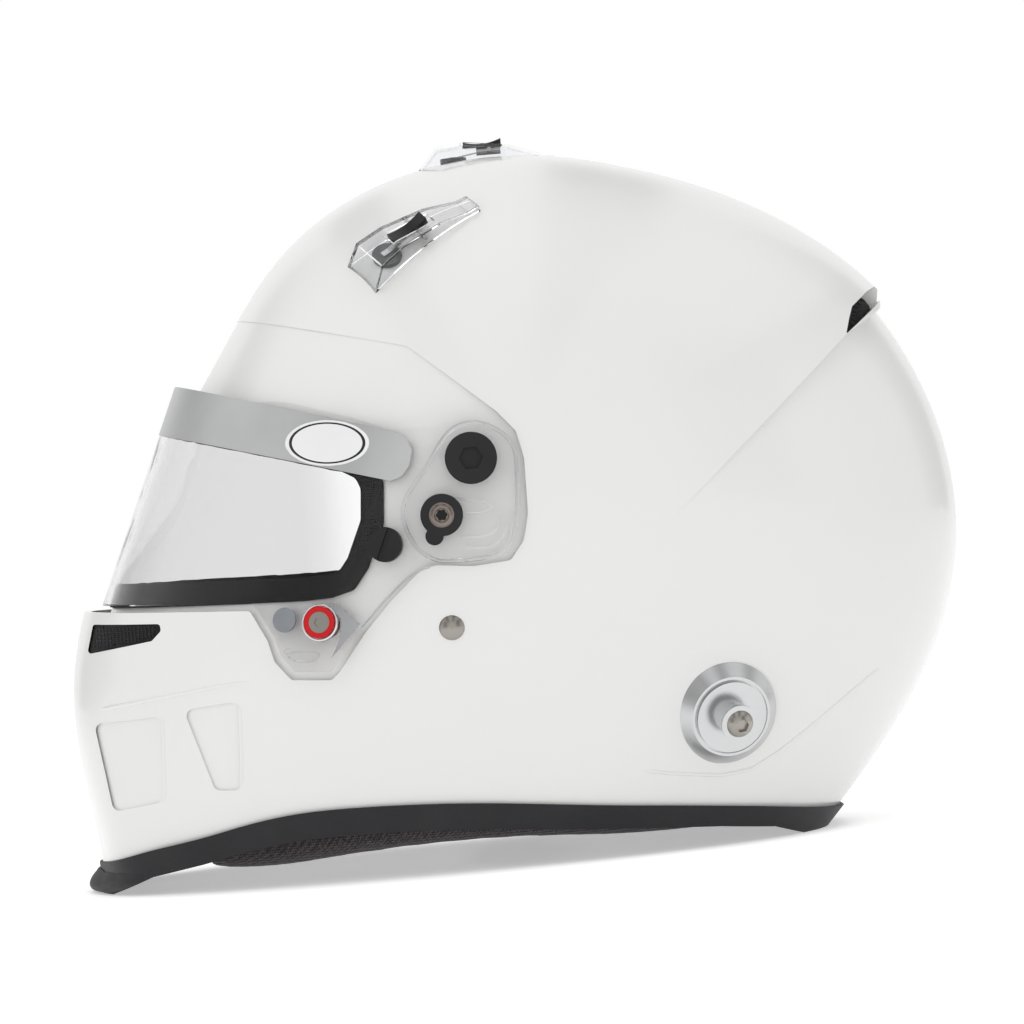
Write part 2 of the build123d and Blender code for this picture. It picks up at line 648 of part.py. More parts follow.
ear_seat = Plane((ear_outer, pivot_y, pivot_z), x_dir=(0, 1, 0), z_dir=(1, 0, 0))
sheet = (arched(visor_wall) - arched(0)) & prism(visor_shares, visor_corner)
tab_room = arched(visor_wall / 2)
with BuildPart(mode=Mode.PRIVATE) as tab_ridge:
    with BuildSketch(tab_seat.offset(-visor_wall)):
        Ellipse(tab_high / 2, tab_long / 2)
    extrude(amount=visor_wall + tab_rise)
    add(tab_room, mode=Mode.SUBTRACT)
with BuildPart() as visor:
    add(sheet)
    for seat in (ear_seat, on_side(ear_seat)):
        add(disc(seat, pivot_ring_outer, -pivot_ring_tall, pivot_ring_tall))
        add(disc(seat, pivot_ring_inner, 0, 2 * pivot_ring_tall), mode=Mode.SUBTRACT)
        add(disc(seat, shoulder_radius + pin_gap, -2 * visor_wall, visor_wall), mode=Mode.SUBTRACT)
    for seat in (cam_seat, on_side(cam_seat)):
        add(disc(seat, cam_bolt + pin_gap, -2 * visor_wall, visor_wall), mode=Mode.SUBTRACT)
    for seat in (tearoff_seat, on_side(tearoff_seat)):
        add(disc(seat, post_shank + pin_gap, -2 * visor_wall, visor_wall), mode=Mode.SUBTRACT)
    add(disc(lock_seat, lock_ring_radius, -lock_ring_tall, lock_ring_tall))
    add(disc(lock_seat, button_cap_radius + 2 * pin_gap, -lock_recess, 2 * lock_ring_tall),
        mode=Mode.SUBTRACT)
    add(disc(lock_seat, stem_radius + pin_gap, -2 * visor_wall, visor_wall), mode=Mode.SUBTRACT)
    add(tab_ridge.part)
kept(visor, "visor")

# What the visor carries: sun strip, wedge, marker, lock button, cams and tear-off posts
strip_shares = (
    (-0.5200, 0.1620), (-0.3192, 0.1442), (-0.0793, 0.0466), (-0.0662, 0.0354),
    (-0.0611, 0.0183), (-0.0658, -0.0030), (-0.0741, -0.0157), (-0.0862, -0.0211),
    (-0.3419, 0.0773), (-0.5200, 0.1460),
)
strip_wall = 0.4
wedge_shares = (
    (-0.1625, -0.1860), (-0.1568, -0.1784), (-0.1325, -0.2113), (-0.1664, -0.2553),
    (-0.1560, -0.2314), (-0.1529, -0.2182), (-0.1517, -0.2019),
)
wedge_rise = 1.4
marker_radius, marker_wall = 4.7, 0.8
visor_solid = arched(visor_wall)
strip_body = (arched(visor_wall + strip_wall) - visor_solid) & prism(strip_shares, 0)
with BuildPart() as visor_strip:
    add(strip_body)
kept(visor_strip, "visor_strip")
wedge_body = (arched(visor_wall + wedge_rise) - visor_solid) & prism(wedge_shares, 0)
with BuildPart() as lock_wedge:
    add(wedge_body)
    with Locations((-helmet_length / 2, 0, pivot_z)):
        Box(helmet_length, helmet_length, helmet_height, mode=Mode.SUBTRACT)
    add(disc(lock_seat, lock_ring_radius + seat_gap, -lock_ring_tall, 2 * lock_ring_tall),
        mode=Mode.SUBTRACT)
kept(lock_wedge, "lock_wedge")
with BuildPart() as marker_disc:
    add(disc(marker_seat, marker_radius, -marker_wall, marker_wall))
    add(visor_solid, mode=Mode.SUBTRACT)
kept(marker_disc, "marker_disc")

cap_top = lock_ring_tall + button_rise
with BuildPart() as lock_button:
    add(disc(lock_seat, button_cap_radius, 0, cap_top))
    add(disc(lock_seat, stem_radius, -visor_wall - fit_gap, 0))
    add(disc(lock_seat, stem_flange_radius, -visor_wall - fit_gap - stem_flange_wall,
             -visor_wall - fit_gap))
    add(disc(lock_seat, button_screw_radius + pin_gap, cap_top - button_screw_wall,
             cap_top + fit_gap), mode=Mode.SUBTRACT)
kept(lock_button, "lock_button")
socket_deep_share = 0.6
with BuildPart() as button_screw:
    add(disc(lock_seat, button_screw_radius, cap_top - button_screw_wall, cap_top))
    with BuildSketch(lock_seat.offset(cap_top)):
        RegularPolygon(button_screw_radius / 2, 6)
    extrude(amount=-button_screw_wall * socket_deep_share, mode=Mode.SUBTRACT)
kept(button_screw, "button_screw")
with BuildPart() as lock_catch:
    catch_top = -visor_wall - lock_travel - 2 * stem_flange_wall - 4 * fit_gap
    add(disc(lock_seat, catch_radius, catch_top - shell_wall, catch_top))
    add(disc(lock_seat, catch_bore, catch_top - shell_wall, catch_top), mode=Mode.SUBTRACT)
kept(lock_catch, "lock_catch")


def cam_ring_on(seat):
    """The black cam with its tab, bored for its screw's shoulder."""
    with BuildPart(mode=Mode.PRIVATE) as ring:
        add(disc(seat, cam_radius, seat_gap, seat_gap + cam_tall))
        tab = shifted(seat, -cam_tab_out, 0)
        add(disc(tab, cam_tab_radius, seat_gap, cam_tall - seat_gap))
        add(disc(seat, cam_shoulder + pin_gap, 0, cam_tall + visor_wall), mode=Mode.SUBTRACT)
        add(disc(seat, cam_head_radius + 2 * pin_gap, cam_tall - cam_head_wall, cam_tall + visor_wall),
            mode=Mode.SUBTRACT)
    return ring.part


def cam_screw_on(seat):
    """The cam's shouldered screw, its head sunk in the cam."""
    top = cam_tall + 2 * seat_gap
    under = cam_tall - cam_head_wall + pin_gap
    with BuildPart(mode=Mode.PRIVATE) as screw:
        add(disc(seat, cam_head_radius, under, top))
        add(disc(seat, cam_shoulder, pin_gap, under))
        add(disc(seat, cam_bolt, -visor_wall - pin_gap, pin_gap))
        add(disc(seat, tail_radius, -visor_wall - pin_gap - tail_wall, -visor_wall - pin_gap))
        with BuildSketch(seat.offset(top)):
            RegularPolygon(cam_head_radius / 2, 6)
        extrude(amount=-(top - under) * socket_deep_share, mode=Mode.SUBTRACT)
    return screw.part


def tearoff_on(seat):
    """A slotted tear-off post turning in the visor."""
    top = seat_gap + tearoff_tall
    with BuildPart(mode=Mode.PRIVATE) as post:
        add(disc(seat, tearoff_radius, seat_gap + pin_gap, top))
        add(disc(seat, post_shank, -visor_wall - pin_gap, seat_gap + pin_gap))
        add(disc(seat, tail_radius, -visor_wall - pin_gap - tail_wall, -visor_wall - pin_gap))
        with BuildSketch(seat.offset(top)):
            Rectangle(2 * tearoff_radius, tearoff_slot)
        extrude(amount=-tearoff_slot_deep, mode=Mode.SUBTRACT)
    return post.part


def pivot_screw_on(seat):
    """The visor's pivot screw: hex head, shoulder in the ear, shank through the shell."""
    under = boss_gap + visor_wall + seat_gap
    top = under + pivot_head_tall
    deep = shell_wall + ear_gap + 2 * fit_gap + nut_wall
    with BuildPart(mode=Mode.PRIVATE) as screw:
        add(disc(seat, pivot_head_radius, under, top))
        add(disc(seat, shoulder_radius, 0, under))
        add(disc(seat, pivot_bolt, -deep, 0))
        with BuildSketch(seat.offset(top)):
            RegularPolygon(pivot_socket_radius, 6)
        extrude(amount=-pivot_head_tall * socket_deep_share, mode=Mode.SUBTRACT)
    return screw.part


def pivot_nut_on(seat):
    """The hexagon nut inside the shell."""
    top = -shell_wall - ear_gap - 2 * fit_gap
    with BuildPart(mode=Mode.PRIVATE) as nut:
        with BuildSketch(seat.offset(top)):
            RegularPolygon(nut_radius, 6)
        extrude(amount=-nut_wall)
        add(disc(seat, pivot_bolt + pin_gap, top - 2 * nut_wall, 0), mode=Mode.SUBTRACT)
    return nut.part


def anchor_cone_on(seat):
    """The anchor's turned cone and its inner disc."""
    with BuildPart(mode=Mode.PRIVATE) as cone:
        add(disc(seat, cone_radius, -cone_tall, 0))
        with Locations(seat.offset(cone_tall / 2).location):
            Cone(cone_radius, cone_top_radius, cone_tall)
        ring = disc(seat, disc_radius + ring_gap, cone_tall - disc_tall, cone_tall + disc_tall)
        add(ring, mode=Mode.SUBTRACT)
        add(disc(seat, disc_radius, cone_tall - disc_tall, cone_tall + disc_tall))
        add(outer_form, mode=Mode.SUBTRACT)
        add(disc(seat, anchor_bolt + pin_gap, -2 * cone_tall, 2 * cone_tall), mode=Mode.SUBTRACT)
    return cone.part


post_foot = cone_tall + disc_tall
post_head = post_foot + post_long


def anchor_post_on(seat):
    """The post that the tether's clip runs on, with its flange."""
    with BuildPart(mode=Mode.PRIVATE) as post:
        add(disc(seat, post_radius, post_foot, post_head))
        with Locations(seat.offset(post_head + post_head_tall / 2).location):
            Cylinder(post_head_radius, post_head_tall)
        add(disc(seat, anchor_bolt + pin_gap, 0, 2 * post_head), mode=Mode.SUBTRACT)
    return post.part


def dome_point(radius, tall):
    """The place on a domed head's arc over half its radius."""
    ball = (radius**2 + tall**2) / (2 * tall)
    return radius / 2, math.sqrt(ball**2 - radius**2 / 4) - ball + tall


def anchor_screw_on(seat):
    """The button-head screw through the post, cone and shell."""
    under = post_head + post_head_tall
    dome_out, dome_up = dome_point(button_radius, button_tall)
    with BuildPart(mode=Mode.PRIVATE) as screw:
        with BuildSketch(Plane(seat.origin, x_dir=seat.x_dir, z_dir=-seat.y_dir)):
            with BuildLine():
                ThreePointArc(
                    (0, under + button_tall), (dome_out, under + dome_up), (button_radius, under)
                )
                Polyline((button_radius, under), (0, under), (0, under + button_tall))
            make_face()
        revolve(axis=Axis(seat.origin, seat.z_dir))
        add(disc(seat, anchor_bolt, -anchor_deep, under))
        with BuildSketch(seat.offset(under + button_tall + fit_gap)):
            RegularPolygon(button_radius / 2, 6)
        extrude(amount=-fit_gap - button_tall * socket_deep_share, mode=Mode.SUBTRACT)
    return screw.part


anchor_inner = shell_wall + anchor_inset


def anchor_nut_on(seat):
    """The flanged nut inside the shell."""
    with BuildPart(mode=Mode.PRIVATE) as nut:
        add(disc(seat, anchor_nut_radius, -anchor_inner - anchor_nut_wall, -anchor_inner))
        add(disc(seat, anchor_bolt + pin_gap, -2 * anchor_inner - anchor_nut_wall, 0),
            mode=Mode.SUBTRACT)
    return nut.part


def rivet_on(seat):
    """The strap's domed rivet, through the shell and the strap."""
    with BuildPart(mode=Mode.PRIVATE) as rivet:
        with BuildSketch(Plane(seat.origin, x_dir=seat.x_dir, z_dir=-seat.y_dir)):
            with BuildLine():
                ThreePointArc((0, rivet_tall), dome_point(rivet_radius, rivet_tall), (rivet_radius, 0))
                Polyline(
                    (rivet_radius, 0), (rivet_radius, -rivet_tall), (0, -rivet_tall), (0, rivet_tall)
                )
            make_face()
        revolve(axis=Axis(seat.origin, seat.z_dir))
        add(outer_form, mode=Mode.SUBTRACT)
        add(disc(seat, rivet_shank, -rivet_deep, rivet_tall / 2))
        add(disc(seat, rivet_radius, -rivet_deep - rivet_inner_wall, -rivet_deep))
    return rivet.part


for name, make, seat in (
    ("cam_ring", cam_ring_on, cam_seat), ("cam_screw", cam_screw_on, cam_seat),
    ("tearoff_post", tearoff_on, tearoff_seat), ("pivot_screw", pivot_screw_on, pivot_seat),
    ("pivot_nut", pivot_nut_on, pivot_seat), ("anchor_cone", anchor_cone_on, anchor_seat),
    ("anchor_post", anchor_post_on, anchor_seat), ("anchor_screw", anchor_screw_on, anchor_seat),
    ("anchor_nut", anchor_nut_on, anchor_seat), ("strap_rivet", rivet_on, rivet_seat),
):
    made = make(seat)
    with BuildPart() as left_piece:
        add(made)
    kept(left_piece, name + "_left")
    with BuildPart() as right_piece:
        add(mirror(made, about=Plane.YZ))
    kept(right_piece, name + "_right")

# Meshes behind the chin vents and the exhaust slots
mesh_layer = shrunk(outer_form, mesh_set) - shrunk(outer_form, mesh_set + mesh_wall)
chin_mesh_inner = chin_vent_inner + seat_gap
chin_mesh_body = prism(chin_vent_shares, chin_vent_corner, -seat_gap, chin_mesh_inner) & mesh_layer
with BuildPart() as chin_vent_mesh:
    add(chin_mesh_body)
kept(chin_vent_mesh, "chin_vent_mesh")
exhaust_mesh_body = prism(exhaust_shares, 0, -seat_gap, exhaust_inner + seat_gap) & mesh_layer
with BuildPart() as exhaust_mesh:
    add(exhaust_mesh_body)
kept(exhaust_mesh, "exhaust_mesh")


# Top vents, made in the seat's own frame: x to the back, z off the skin
def vent_plan(seat, inset, low, high, front):
    """The scoop's tapered plan as a block, drawn in by an inset, its front moved on."""
    x0, x1 = -vent_long / 2 - front, vent_long / 2 - inset
    wide, narrow = vent_wide / 2 - inset, vent_tail_wide / 2 - inset
    with BuildPart(mode=Mode.PRIVATE) as block:
        with BuildSketch(seat.offset(low)):
            Polygon((x0, -wide), (x1, -narrow), (x1, narrow), (x0, wide), align=None)
        extrude(amount=high - low)
    return block.part


def vent_side(seat, lower):
    """The scoop's side profile as a block across it, its roof lowered."""
    with BuildPart(mode=Mode.PRIVATE) as block:
        with BuildSketch(Plane(seat.origin, x_dir=seat.x_dir, z_dir=-seat.y_dir)):
            roof = [(a * vent_long, b * vent_tall - lower) for a, b in vent_profile_shares]
            Polygon(*roof, (roof[-1][0], -vent_sink), (roof[0][0], -vent_sink), align=None)
        extrude(amount=vent_wide, both=True)
    return block.part


def box_on(seat, x0, x1, wide, z0, z1):
    """A block on a seat, centred across it."""
    with BuildPart(mode=Mode.PRIVATE) as block:
        with Locations(shifted(seat, (x0 + x1) / 2, 0).offset((z0 + z1) / 2).location):
            Box(x1 - x0, wide, z1 - z0)
    return block.part


def across(seat, radius, half):
    """A cylinder across the seat at the axle's place."""
    centre = seat.from_local_coords((axle_x, 0, axle_z))
    with BuildPart(mode=Mode.PRIVATE) as rod:
        with Locations(Plane(centre, x_dir=seat.x_dir, z_dir=seat.y_dir).location):
            Cylinder(radius, 2 * half)
    return rod.part


def barrel_on(seat, radius, grow):
    """The polished barrel along the scoop."""
    centre = seat.from_local_coords(((barrel_front + barrel_back) / 2, 0, axle_z))
    with BuildPart(mode=Mode.PRIVATE) as rod:
        with Locations(Plane(centre, x_dir=seat.z_dir, z_dir=seat.x_dir).location):
            Cylinder(radius, barrel_back - barrel_front + 2 * grow)
    return rod.part


vent_under = shrunk(outer_form, -fit_gap)
axle_half = (vent_wide + vent_tail_wide) / 4 - fit_gap


def vent_housing_on(seat):
    """The clear scoop: open in front, slotted on top, bored for its axle."""
    solid = vent_plan(seat, 0, -vent_sink, vent_tall + vent_wall, 0) & vent_side(seat, 0)
    hollow = vent_plan(seat, vent_wall, -vent_sink, vent_tall, vent_wall) & vent_side(seat, vent_wall)
    with BuildPart(mode=Mode.PRIVATE) as housing:
        add(solid)
        add(hollow, mode=Mode.SUBTRACT)
        add(box_on(seat, slot_front, slot_back, slot_wide, 0, 2 * vent_tall), mode=Mode.SUBTRACT)
        add(across(seat, axle_radius, vent_wide), mode=Mode.SUBTRACT)
        add(outer_form, mode=Mode.SUBTRACT)
    return housing.part


def vent_clip_on(seat):
    """The barrel on the axle with the leaf arm that carries the flap."""
    foot = axle_z - barrel_radius / 2
    with BuildPart(mode=Mode.PRIVATE) as clip:
        with BuildSketch(Plane(seat.origin, x_dir=seat.x_dir, z_dir=-seat.y_dir)):
            Polygon(
                (flap_x - leaf_wide / 2, flap_top), (flap_x + leaf_wide / 2, flap_top),
                (barrel_front + leaf_wall, foot), (barrel_front + leaf_wall, foot + leaf_wall),
                (flap_x + leaf_wide / 2, flap_top + leaf_wall),
                (flap_x - leaf_wide / 2, flap_top + leaf_wall), align=None,
            )
        extrude(amount=leaf_wide / 2, both=True)
        add(barrel_on(seat, barrel_radius, 0))
        add(across(seat, axle_radius + pin_gap, vent_wide), mode=Mode.SUBTRACT)
    return clip.part


def vent_thumb_on(seat):
    """The concave thumb piece that sits on the barrel."""
    with BuildPart(mode=Mode.PRIVATE) as thumb:
        with BuildSketch(Plane(seat.origin, x_dir=seat.x_dir, z_dir=-seat.y_dir)):
            with BuildLine():
                ThreePointArc(
                    (thumb_front, thumb_front_z), ((thumb_front + thumb_back) / 2, thumb_dip),
                    (thumb_back, thumb_back_z),
                )
                Polyline(
                    (thumb_back, thumb_back_z), (thumb_back, thumb_low), (thumb_front, thumb_low),
                    (thumb_front, thumb_front_z),
                )
            make_face()
        extrude(amount=thumb_wide / 2, both=True)
        add(barrel_on(seat, barrel_radius, barrel_radius), mode=Mode.SUBTRACT)
    return thumb.part


def vent_flap_on(seat):
    """The flap over the vent's hole, curved to lie on the skin."""
    with BuildPart(mode=Mode.PRIVATE) as flap:
        with BuildSketch(shifted(seat, flap_x, 0).offset(-vent_tall / 2)):
            Ellipse(flap_long / 2, flap_wide / 2)
        extrude(amount=flap_top + vent_tall / 2)
        add(vent_under, mode=Mode.SUBTRACT)
    return flap.part


for name, make in (
    ("vent_housing", vent_housing_on), ("vent_clip", vent_clip_on), ("vent_thumb", vent_thumb_on),
    ("vent_flap", vent_flap_on), ("vent_axle", lambda seat: across(seat, axle_radius, axle_half)),
):
    with BuildPart() as centre_piece:
        add(make(vent_seat))
    kept(centre_piece, name + "_centre")
    made = make(side_vent_seat)
    with BuildPart() as left_piece:
        add(made)
    kept(left_piece, name + "_left")
    with BuildPart() as right_piece:
        add(mirror(made, about=Plane.YZ))
    kept(right_piece, name + "_right")

# Chin straps: ribbons across the opening, buckled with two D-rings
strap_plane = Plane((0, rivet_y, 0), x_dir=(1, 0, 0), z_dir=(0, -1, 0))
strap_bend = 3.0
loop_wide, loop_tall, loop_round_share = 3.8, 8.0, 0.9
turn_in, turn_under, turn_over = 6.5, 5.3, 7.1

# Places along the straps: shares of the half width outwards, of the height upwards
fall_shares = ((0.8133, 0.1400), (0.6971, 0.1382), (0.4979, 0.0945))
left_near_share = (0.4149, 0.0782)
right_near_share = (-0.3320, 0.0636)
tail_share = (-0.1660, 0.1055)


def strap_place(share):
    """A place across the opening from its shares."""
    return share[0] * half_width, share[1] * helmet_height


side_run = [(strap_x(z), z) for z in wall_heights] + [strap_place(share) for share in fall_shares]
loop_side = buckle_x + (loop_wide + strap_wall) / 2
left_run = side_run + [strap_place(left_near_share), (loop_side, buckle_z)]
turn_x = buckle_x - turn_in
right_run = [(-x, z) for x, z in side_run] + [
    strap_place(right_near_share), (turn_x, buckle_z - turn_under), (turn_x, buckle_z + turn_over),
    strap_place(tail_share),
]


def ribbon(run):
    """A flat strap along a run of places."""
    with BuildPart(mode=Mode.PRIVATE) as band:
        with BuildSketch(strap_plane):
            with BuildLine() as line:
                FilletPolyline(*run, radius=strap_bend)
            trace(line.line, strap_wall)
        extrude(amount=strap_wide / 2, both=True)
    return band.part


with BuildPart() as strap_left:
    add(ribbon(left_run))
    with BuildSketch(strap_plane):
        with Locations((buckle_x, buckle_z)):
            loop_outer = loop_wide / 2 + strap_wall
            RectangleRounded(2 * loop_outer, loop_tall + 2 * strap_wall, loop_round_share * loop_outer)
    extrude(amount=strap_wide / 2, both=True)
    with BuildSketch(strap_plane):
        with Locations((buckle_x, buckle_z)):
            RectangleRounded(loop_wide, loop_tall, loop_round_share * loop_wide / 2)
    extrude(amount=strap_wide / 2, both=True, mode=Mode.SUBTRACT)
    add(disc(rivet_seat, rivet_shank + pin_gap, -2 * rivet_deep, 0), mode=Mode.SUBTRACT)
kept(strap_left, "strap_left")
with BuildPart() as strap_right:
    add(ribbon(right_run))
    add(disc(on_side(rivet_seat), rivet_shank + pin_gap, -2 * rivet_deep, 0), mode=Mode.SUBTRACT)
kept(strap_right, "strap_right")

ring_corner = 2.4
ring_outline = (
    (buckle_x, ring_bar / 2), (buckle_x - ring_deep / 2, ring_bar / 2),
    (buckle_x - ring_deep + ring_wire, ring_bar / 4), (buckle_x - ring_deep + ring_wire, -ring_bar / 4),
    (buckle_x - ring_deep / 2, -ring_bar / 2), (buckle_x, -ring_bar / 2),
)


def d_ring_at(z):
    """A D-shaped wire ring lying flat at a height."""
    with BuildPart(mode=Mode.PRIVATE) as ring:
        with BuildLine(Plane((0, rivet_y, z))) as line:
            FilletPolyline(*ring_outline, radius=ring_corner, close=True)
        with BuildSketch(Plane(line.line @ 0, z_dir=line.line % 0)):
            Circle(ring_wire)
        sweep()
    return ring.part


with BuildPart() as d_ring_upper:
    add(d_ring_at(buckle_z + ring_rise / 2))
kept(d_ring_upper, "d_ring_upper")
with BuildPart() as d_ring_lower:
    add(d_ring_at(buckle_z - ring_rise / 2))
kept(d_ring_lower, "d_ring_lower")
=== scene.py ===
"""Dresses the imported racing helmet: lacquer, clear visor, padding, webbing and a soft studio."""
import math

import bpy
import numpy as np
from mathutils import Matrix, Vector
from mathutils.bvhtree import BVHTree


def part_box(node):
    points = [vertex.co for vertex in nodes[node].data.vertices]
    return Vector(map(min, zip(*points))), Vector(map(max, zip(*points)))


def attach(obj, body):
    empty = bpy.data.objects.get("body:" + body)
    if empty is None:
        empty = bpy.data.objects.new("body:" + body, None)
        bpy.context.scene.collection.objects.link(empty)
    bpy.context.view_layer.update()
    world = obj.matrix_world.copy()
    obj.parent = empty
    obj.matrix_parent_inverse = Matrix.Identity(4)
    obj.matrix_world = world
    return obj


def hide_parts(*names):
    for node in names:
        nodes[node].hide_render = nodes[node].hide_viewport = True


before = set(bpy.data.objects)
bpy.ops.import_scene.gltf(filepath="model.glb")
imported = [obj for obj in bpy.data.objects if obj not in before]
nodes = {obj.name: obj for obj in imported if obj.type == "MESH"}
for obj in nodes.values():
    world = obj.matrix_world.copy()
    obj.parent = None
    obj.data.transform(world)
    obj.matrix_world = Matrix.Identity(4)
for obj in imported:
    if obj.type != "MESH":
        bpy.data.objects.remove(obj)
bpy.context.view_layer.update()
MM = 0.001
SIDES = (("left", 1), ("right", -1))

# The visor, in millimetres: its pivots, the slant of its sweep, its ears' reach out and its reach ahead
PIVOT_Y, PIVOT_Z = -10.4, 156.0
TILT = math.radians(23.9)
TILT_C, TILT_S = math.cos(TILT), math.sin(TILT)
EAR_OUTER, VISOR_OUTER = 124.4, 121.0

# The photograph's view: square on the wearer's left, rolled by the helmet's tip-back
PICTURE_WIDE = 1024
VIEW_Y, VIEW_Z, VIEW_FAR, VIEW_WIDE = 3.04, 134.43, 2200.0, 406.5
TIP = math.radians(5.3)
TIP_C, TIP_S = math.cos(TIP), math.sin(TIP)


def sides(stem):
    """The names of a pair of nodes."""
    return [stem + "_left", stem + "_right"]


# Node groups: the effects that the materials share
GRAIN_DETAIL, GRAIN_DISTANCE = 3.0, 0.4 * MM
MOTTLE_SCALE, MOTTLE_DETAIL = 22.0, 4.0
YARN_SKEW, YARN_LIFT, FLECK_SCALE, FLECK_DETAIL = 0.6, 0.5, 620.0, 2.0
MARK_STRENGTH, MARK_DISTANCE = 0.02, 0.1 * MM


def group(name, inputs, outputs):
    """A new shader node group with its sockets."""
    tree = bpy.data.node_groups.new(name, "ShaderNodeTree")
    for label, kind, value in inputs:
        socket = tree.interface.new_socket(label, in_out="INPUT", socket_type=kind)
        socket.default_value = value
    for label, kind in outputs:
        tree.interface.new_socket(label, in_out="OUTPUT", socket_type=kind)
    return tree, tree.nodes.new("NodeGroupInput"), tree.nodes.new("NodeGroupOutput")


def add_node(tree, kind, links=(), **values):
    """A node with its settings, its inputs linked or set by name or number."""
    node = tree.nodes.new(kind)
    for key, value in values.items():
        setattr(node, key, value)
    for key, source in links:
        if isinstance(source, bpy.types.NodeSocket):
            tree.links.new(source, node.inputs[key])
        else:
            node.inputs[key].default_value = source
    return node


def math_node(tree, operation, *terms):
    """A math node's result."""
    links = list(enumerate(terms))
    return add_node(tree, "ShaderNodeMath", links, operation=operation).outputs[0]


def vector_node(tree, operation, *terms):
    """A vector math node."""
    links = list(enumerate(terms))
    return add_node(tree, "ShaderNodeVectorMath", links, operation=operation)


def make_grain():
    """Fine moulded grain: a bump normal and a mottle, from object coordinates."""
    tree, start, end = group(
        "grain",
        [("Scale", "NodeSocketFloat", 900.0), ("Depth", "NodeSocketFloat", 0.1)],
        [("Normal", "NodeSocketVector"), ("Mottle", "NodeSocketFloat")],
    )
    place = add_node(tree, "ShaderNodeTexCoord").outputs["Object"]
    noise = add_node(
        tree, "ShaderNodeTexNoise",
        [("Vector", place), ("Scale", start.outputs["Scale"]), ("Detail", GRAIN_DETAIL)],
    )
    bump = add_node(
        tree, "ShaderNodeBump",
        [("Height", noise.outputs[0]), ("Strength", start.outputs["Depth"]), ("Distance", GRAIN_DISTANCE)],
    )
    slow = add_node(
        tree, "ShaderNodeTexNoise", [("Vector", place), ("Scale", MOTTLE_SCALE), ("Detail", MOTTLE_DETAIL)]
    )
    tree.links.new(bump.outputs[0], end.inputs["Normal"])
    tree.links.new(slow.outputs[0], end.inputs["Mottle"])
    return tree


def make_weave():
    """Yarns crossed along three axes: a height, and a tone that is darker where the yarns dip (painted shade
    between the yarns) and mottled by flecks.
    """
    tree, start, end = group(
        "weave",
        [("Pitch", "NodeSocketFloat", 700.0), ("Slant", "NodeSocketFloat", 0.0)],
        [("Height", "NodeSocketFloat"), ("Shade", "NodeSocketFloat")],
    )
    place = add_node(tree, "ShaderNodeTexCoord").outputs["Object"]
    turn = add_node(tree, "ShaderNodeCombineXYZ", [("Z", start.outputs["Slant"])])
    spun = add_node(
        tree, "ShaderNodeVectorRotate", [("Vector", place), ("Rotation", turn.outputs[0])],
        rotation_type="EULER_XYZ",
    )
    waves = []
    for direction in ("X", "Y", "Z"):
        waves.append(add_node(
            tree, "ShaderNodeTexWave",
            [("Vector", spun.outputs[0]), ("Scale", start.outputs["Pitch"]), ("Distortion", YARN_SKEW)],
            bands_direction=direction,
        ).outputs[1])
    pairs = [math_node(tree, "MULTIPLY", waves[i], waves[(i + 1) % 3]) for i in range(3)]
    crossed = math_node(tree, "MAXIMUM", math_node(tree, "MAXIMUM", *pairs[:2]), pairs[2])
    fleck = add_node(
        tree, "ShaderNodeTexNoise", [("Vector", place), ("Scale", FLECK_SCALE), ("Detail", FLECK_DETAIL)]
    )
    # The tone follows the yarn height, painted shade in the gaps between yarns, times the flecks' own tone
    shade = math_node(tree, "MULTIPLY", math_node(tree, "ADD", crossed, YARN_LIFT), fleck.outputs[0])
    tree.links.new(crossed, end.inputs["Height"])
    tree.links.new(shade, end.inputs["Shade"])
    return tree


def make_turned():
    """Lathe marks about an axis, the same on both sides: fine rings and the way round."""
    tree, start, end = group(
        "turned",
        [("Centre", "NodeSocketVector", (0, 0, 0)), ("Axis", "NodeSocketVector", (1, 0, 0)),
         ("Pitch", "NodeSocketFloat", 20000.0)],
        [("Normal", "NodeSocketVector"), ("Tangent", "NodeSocketVector"), ("Ring", "NodeSocketFloat")],
    )
    place = add_node(tree, "ShaderNodeTexCoord").outputs["Object"]
    across, ahead, above = add_node(tree, "ShaderNodeSeparateXYZ", [(0, place)]).outputs
    side = math_node(tree, "SIGN", across)
    folded = add_node(
        tree, "ShaderNodeCombineXYZ", [(0, math_node(tree, "ABSOLUTE", across)), (1, ahead), (2, above)]
    )
    arm = vector_node(tree, "SUBTRACT", folded.outputs[0], start.outputs["Centre"]).outputs[0]
    round_way = vector_node(tree, "CROSS_PRODUCT", start.outputs["Axis"], arm).outputs[0]
    away = vector_node(tree, "LENGTH", round_way).outputs["Value"]
    ring = math_node(tree, "SINE", math_node(tree, "MULTIPLY", away, start.outputs["Pitch"]))
    bump = add_node(
        tree, "ShaderNodeBump", [("Height", ring), ("Strength", MARK_STRENGTH), ("Distance", MARK_DISTANCE)]
    )
    across, ahead, above = add_node(tree, "ShaderNodeSeparateXYZ", [(0, round_way)]).outputs
    unfolded = add_node(
        tree, "ShaderNodeCombineXYZ", [(0, math_node(tree, "MULTIPLY", across, side)), (1, ahead), (2, above)]
    )
    along = vector_node(tree, "NORMALIZE", unfolded.outputs[0])
    tree.links.new(bump.outputs[0], end.inputs["Normal"])
    tree.links.new(along.outputs[0], end.inputs["Tangent"])
    tree.links.new(ring, end.inputs["Ring"])
    return tree


